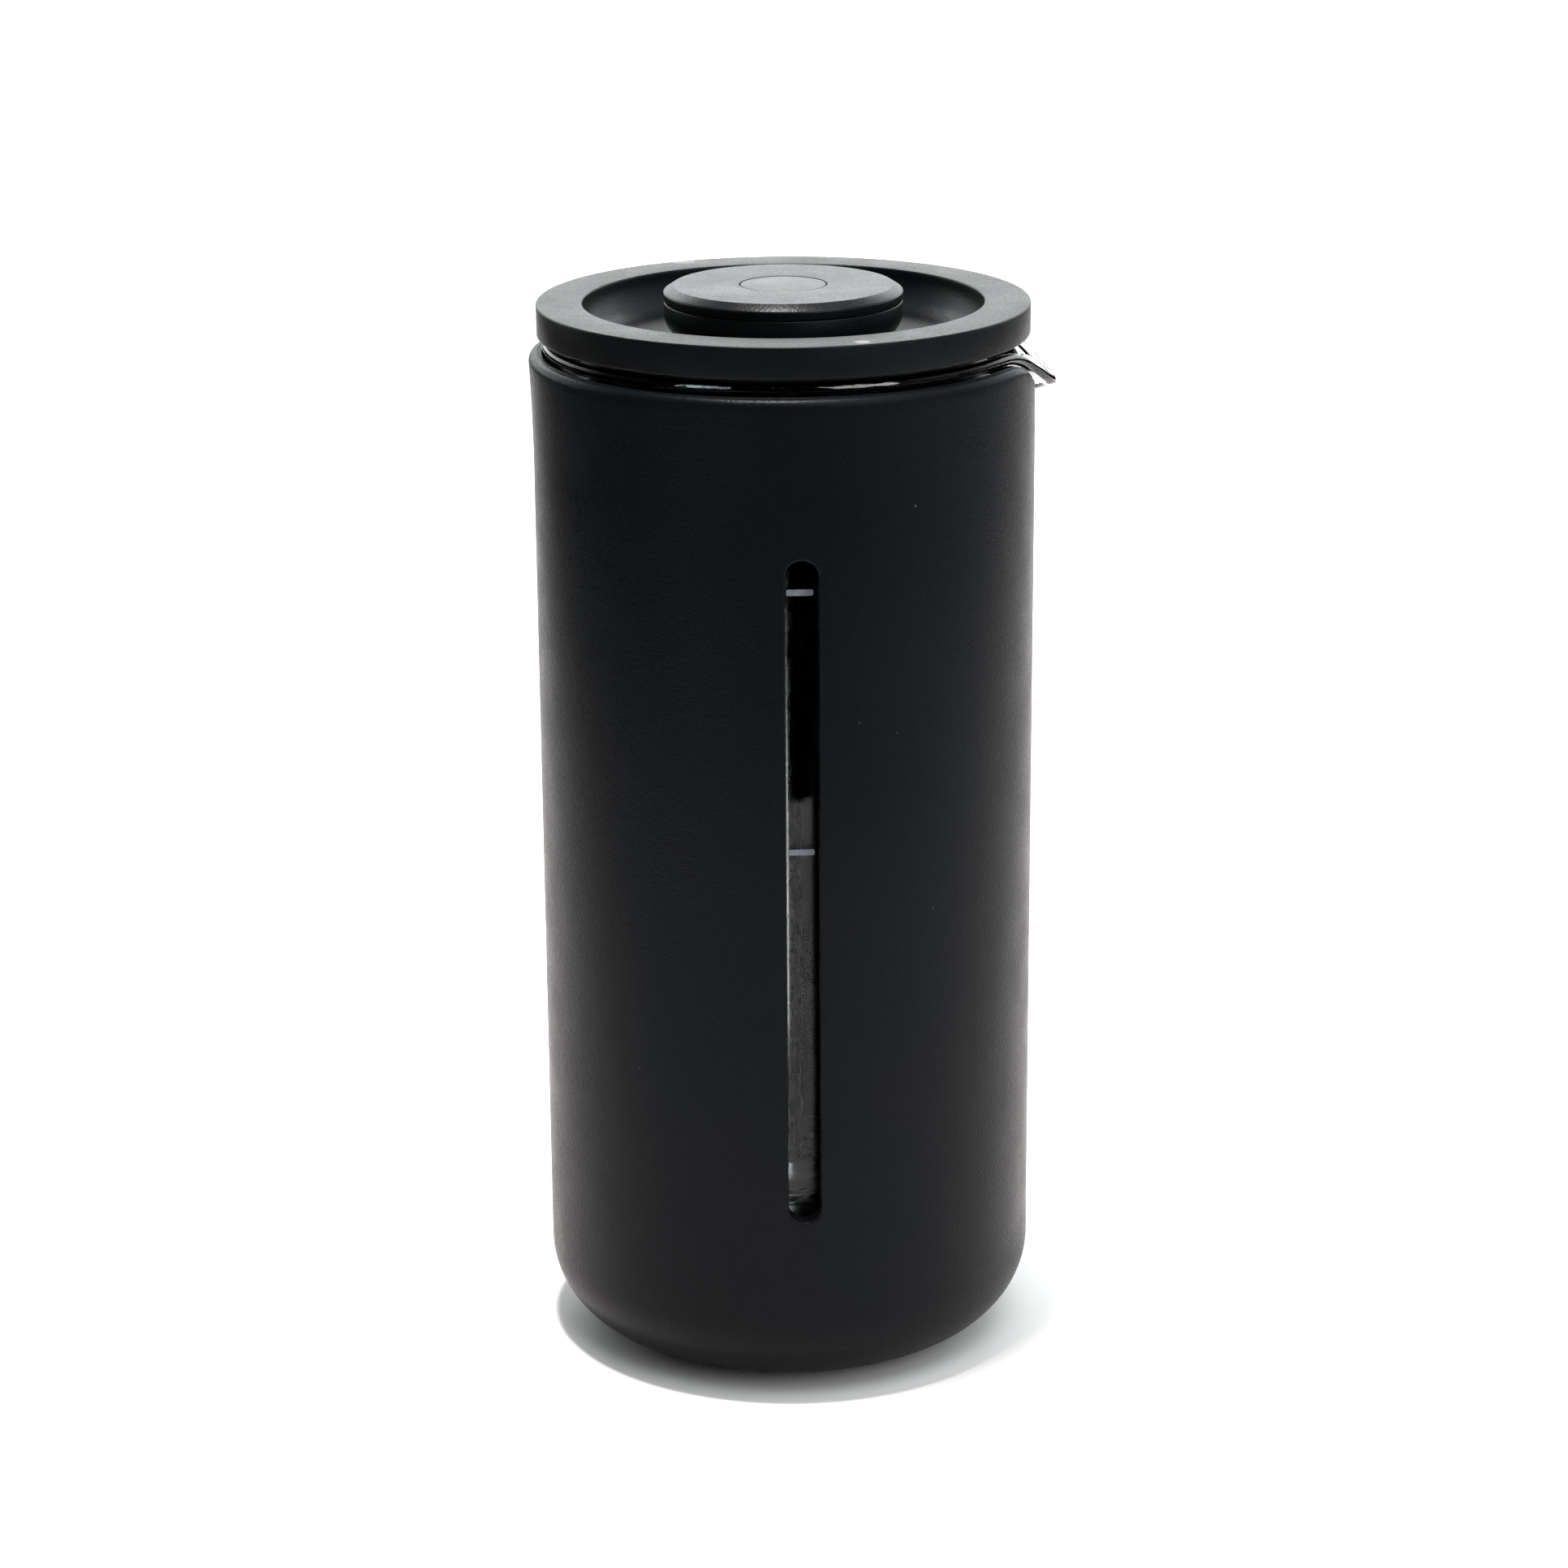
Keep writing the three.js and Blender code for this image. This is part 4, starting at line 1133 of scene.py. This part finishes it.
def build_filter():
    bore = circle(STACK_HOLE_R, 40)
    low = extent("filter_top_plate")[1]
    plate_r, cross_low, cross_high = extent("filter_cross_plate")
    high = low + 1.1
    drains = hole_ring(*OUTER_DRAIN) + hole_ring(*INNER_DRAIN)
    plate("press_plate", [circle(plate_r, 160), bore, *drains],
          low, high, 0.2, STEEL_TURNED, "filter_top_plate")
    hub = turned("press_plate_hub", soften(
        [(STACK_HOLE_R, high - 0.2), (PLATE_HUB_R + 0.4, high - 0.2), (PLATE_HUB_R + 0.4, high),
         (PLATE_HUB_R, high + 0.3, 0.3), (PLATE_HUB_R - 0.4, ROD_SHOULDER_Z - 0.1, 0.3),
         (STACK_HOLE_R, ROD_SHOULDER_Z - 0.1, 0.1)], 4,
    ), STEEL_TURNED, "filter_top_plate", SMALL, ring=True, extra=True)
    for name, node in (("cloth_upper", "filter_mesh_upper"), ("cloth_lower", "filter_mesh_lower")):
        radius, low, high = extent(node)
        plate(name, [circle(radius, 160), bore], low, high, 0.1, WOVEN, node)
    fans = [fan_window((i + 0.5) * 360 / FANS) for i in range(FANS)]
    plate("spoke_plate", [circle(plate_r, 160), bore, *fans],
          cross_low, cross_high, 0.2, STEEL_TURNED, "filter_cross_plate")
    radius, low, high = extent("filter_spacer")
    turned("stack_spacer", soften(
        [(STACK_HOLE_R, low, 0.1), (radius, low, 0.2), (radius, high, 0.2), (STACK_HOLE_R, high, 0.1)], 3,
    ), STEEL, "filter_spacer", SMALL, True)
    build_wiper()
    build_nut()


def build_wiper():
    """The ring that wipes the glass, with two lips."""
    lip, low, high = extent("filter_seal")
    flank, waist = lip - 1.3, lip - 0.7
    turned("wiper_ring", soften(
        [(WIPER_BORE, low, 0.2), (flank, low, 0.15), (lip, low + 0.8, 0.2), (waist, low + 1.5, 0.3),
         (lip, high - 0.8, 0.2), (flank, high, 0.15), (WIPER_BORE, high, 0.2)], 3,
    ), SEAL_CLEAR, "filter_seal", ring=True)


def build_nut():
    """A hexagon cap nut: round chamfers meet six flats."""
    _, low, high = extent("filter_nut")
    sections = []
    angles = [360 * i / NUT_STEPS for i in range(NUT_STEPS)]
    for degrees in angles:
        off = math.radians((degrees + 30) % 60 - 30)
        flat = NUT_FLAT / math.cos(off)
        rise = (flat - NUT_FLAT) * 0.6
        section = [(NUT_THREAD_R, high), (NUT_THREAD_R, NUT_THREAD_LOW_Z), (0.0, NUT_THREAD_LOW_Z)]
        section += [(0, low), (2.6, low), (3.9, low + 0.25), (NUT_FLAT - 0.1, low + 0.7)]
        section += [(flat, low + 0.8 + rise), (flat, high - 0.15 - rise), (NUT_FLAT - 0.2, high)]
        sections.append(section)
    vertices, faces = grid(sections, angles, ring=True)
    mesh_piece("cap_nut", vertices, faces, STEEL, "filter_nut")


# ---------------- stage, light and camera


RIM_HEIGHT = 0.174
CAMERA_AHEAD = Vector((0.0628, 0.99803, 0))
CAMERA_RIGHT = Vector((CAMERA_AHEAD.y, -CAMERA_AHEAD.x, 0))
CAMERA_PLACE = (-0.0430, -0.6766, 0.3077)
CAMERA_PITCH = 0.3012
CAMERA_ROLL = -0.0069
LENS_MM = 94.69
SENSOR_MM = 36
NEAR_FLOOR = ((-0.34, -0.37), (0.6, 1.4))
FAR_FLOOR = ((-3, -2), (3, 3))

# Directions of the bright panes that the rim of the glass shows, from the camera's side of the press.
PANES_DEG = ((-50.5, -48.5), (-45.5, -38), (-36.5, -33.4), (-31.5, -30.3), (-29, -27))


def floor_piece(name, low, high):
    data = bpy.data.meshes.new(name)
    corners = [(low[0], low[1], 0), (high[0], low[1], 0), (high[0], high[1], 0), (low[0], high[1], 0)]
    data.from_pydata(corners, [], [(0, 1, 2, 3)])
    data.materials.append(FLOOR)
    piece = new_object(name, data)
    return piece


def build_world():
    """White where the camera looks; for the light, bright behind and above, dark in front."""
    world = bpy.data.worlds.new("studio")
    world.use_nodes = True
    bpy.context.scene.world = world
    world.node_tree.nodes.clear()
    nodes = Nodes(world.node_tree)
    direction = nodes.node("ShaderNodeTexCoord").outputs["Generated"]
    x, y, z = nodes.node("ShaderNodeSeparateXYZ", {0: direction}).outputs[:]

    def ramp(value, low, high, to_low, to_high):
        """Goes smoothly from to_low, where the value is low, to to_high, where it is high."""
        return nodes.span(value, low, high, to_low, to_high, smooth=True)

    wall = nodes.math("MULTIPLY", ramp(y, 0.1, 0.7, 0.0, 2.25), ramp(z, 0.35, 0.75, 1.0, 0.06))
    dome = nodes.math("MULTIPLY", ramp(z, 0.3, 0.9, 0.12, 0.3), ramp(y, -0.9, 0.1, 0.1, 0.8))
    side = nodes.math("MULTIPLY", ramp(x, 0.15, 0.8, 0.0, 0.7), ramp(y, -0.95, -0.3, 0.3, 1.0))
    above = ramp(z, -0.04, 0.0, 0.0, 1.0)
    strength = nodes.math("MULTIPLY", nodes.math("ADD", nodes.math("ADD", wall, dome), side), above)
    light = nodes.node("ShaderNodeBackground", {"Color": (0.97, 0.995, 1, 1), "Strength": strength})
    backdrop = nodes.node("ShaderNodeBackground", {"Color": (1, 1, 1, 1), "Strength": 1.05})
    seen = nodes.node("ShaderNodeLightPath").outputs["Is Camera Ray"]
    choose = nodes.node("ShaderNodeMixShader", {0: seen, 1: light.outputs[0], 2: backdrop.outputs[0]})
    nodes.node("ShaderNodeOutputWorld", {"Surface": choose.outputs[0]})


def soft_light(name, location, target, size, power, colour=(1, 1, 1)):
    """A rectangular lamp that faces a target, in metres and watts."""
    data = bpy.data.lights.new(name, "AREA")
    data.shape = "RECTANGLE"
    data.size, data.size_y = size
    data.energy = power
    data.color = colour
    lamp = new_object(name, data)
    lamp.location = location
    aim = Vector(target) - Vector(location)
    lamp.rotation_mode = "QUATERNION"
    lamp.rotation_quaternion = aim.to_track_quat("-Z", "Y")
    return lamp


def studio_place(azimuth, elevation, distance):
    """A place round the press: azimuth in degrees, to the right of the camera's direction."""
    a, e = math.radians(azimuth), math.radians(elevation)
    flat = CAMERA_RIGHT * math.sin(a) - CAMERA_AHEAD * math.cos(a)
    return flat * math.cos(e) * distance + Vector((0, 0, RIM_HEIGHT + math.sin(e) * distance))


def panel(name, azimuths, elevations, distance, radiance, colour=(1, 1, 1)):
    """A soft light that fills a range of directions as the rim of the glass sees them."""
    azimuth, elevation = sum(azimuths) / 2, sum(elevations) / 2
    width = distance * math.radians(azimuths[1] - azimuths[0]) * math.cos(math.radians(elevation))
    height = distance * math.radians(elevations[1] - elevations[0])
    place = studio_place(azimuth, elevation, distance)
    power = radiance * math.pi * width * height
    return soft_light(name, place, (0, 0, RIM_HEIGHT), (width, height), power, colour)


def light_only(lamps, pieces):
    """Makes lamps light the named pieces and nothing else."""
    lit = bpy.data.collections.new("lit_" + pieces[0])
    for piece in pieces:
        lit.objects.link(bpy.data.objects[piece])
    for lamp in lamps:
        lamp.light_linking.receiver_collection = lit


def build_camera():
    ahead = CAMERA_AHEAD * math.cos(CAMERA_PITCH) + Vector((0, 0, -math.sin(CAMERA_PITCH)))
    up = CAMERA_RIGHT.cross(ahead)
    rolled_right = CAMERA_RIGHT * math.cos(CAMERA_ROLL) + up * math.sin(CAMERA_ROLL)
    rolled_up = up * math.cos(CAMERA_ROLL) - CAMERA_RIGHT * math.sin(CAMERA_ROLL)
    data = bpy.data.cameras.new("camera")
    data.lens = LENS_MM
    data.sensor_width = SENSOR_MM
    camera = new_object("camera", data)
    axes = Matrix((rolled_right, rolled_up, -ahead)).transposed()
    camera.matrix_world = Matrix.Translation(CAMERA_PLACE) @ axes.to_4x4()
    bpy.context.scene.camera = camera


def build_floor():
    """A near floor that everything sees, and a far one that reflections don't show."""
    (near_left, near_front), (near_right, near_back) = NEAR_FLOOR
    (far_left, far_front), (far_right, far_back) = FAR_FLOOR
    floor_piece("floor", *NEAR_FLOOR)
    far = (
        ("floor_front", (near_left, far_front), (near_right, near_front)),
        ("floor_back", (far_left, near_back), (far_right, far_back)),
        ("floor_left", (far_left, far_front), (near_left, near_back)),
        ("floor_right", (near_right, far_front), (far_right, near_back)),
    )
    for name, low, high in far:
        piece = floor_piece(name, low, high)
        piece.visible_glossy = False
        piece.visible_transmission = name != "floor_front"
    return [name for name, _, _ in far]


def build_stage():
    far_floor = build_floor()
    build_world()
    soft_light("key_above", (0.25, -0.5, 1.3), (0, 0, 0.1), (1.0, 0.6), power=8, colour=(0.97, 0.99, 1))
    soft_light(
        "lamp_overhead", (-0.045, -0.045, 1.05), (0, 0, 0.18), (0.1, 0.1), power=17, colour=(1, 0.88, 0.85)
    )
    soft_light("back_wash", (0, 0.95, 0.75), (0, 0.6, 0), (1.2, 0.3), power=5)
    panel("window_right", (18, 57), (4, 44), distance=1.2, radiance=2.6)
    glints = [panel("glint_right", (20, 56), (0, 46), distance=1.19, radiance=30)]
    for i, span in enumerate(PANES_DEG):
        glints.append(panel("pane_%d" % i, span, (0, 44), 1.1, radiance=44, colour=(0.75, 1, 1)))
    light_only(glints, ["beaker"])
    floor_fill = soft_light("floor_fill", (0, 0, 3), (0, 0, 0), (6, 6), power=60)
    light_only([floor_fill], far_floor)
    back_fill = soft_light("back_fill", (0, 2.2, 1.2), (0, 2.2, 0), (3, 1.6), power=26)
    light_only([back_fill], ["floor_back", "floor"])
    bpy.context.scene.view_settings.view_transform = "Standard"


build_camera()
build_sleeve()
build_silicone()
build_glass()
build_lid()
build_rod_guide()
build_knob()
build_rod()
build_filter()
build_stage()

bpy.context.view_layer.update()
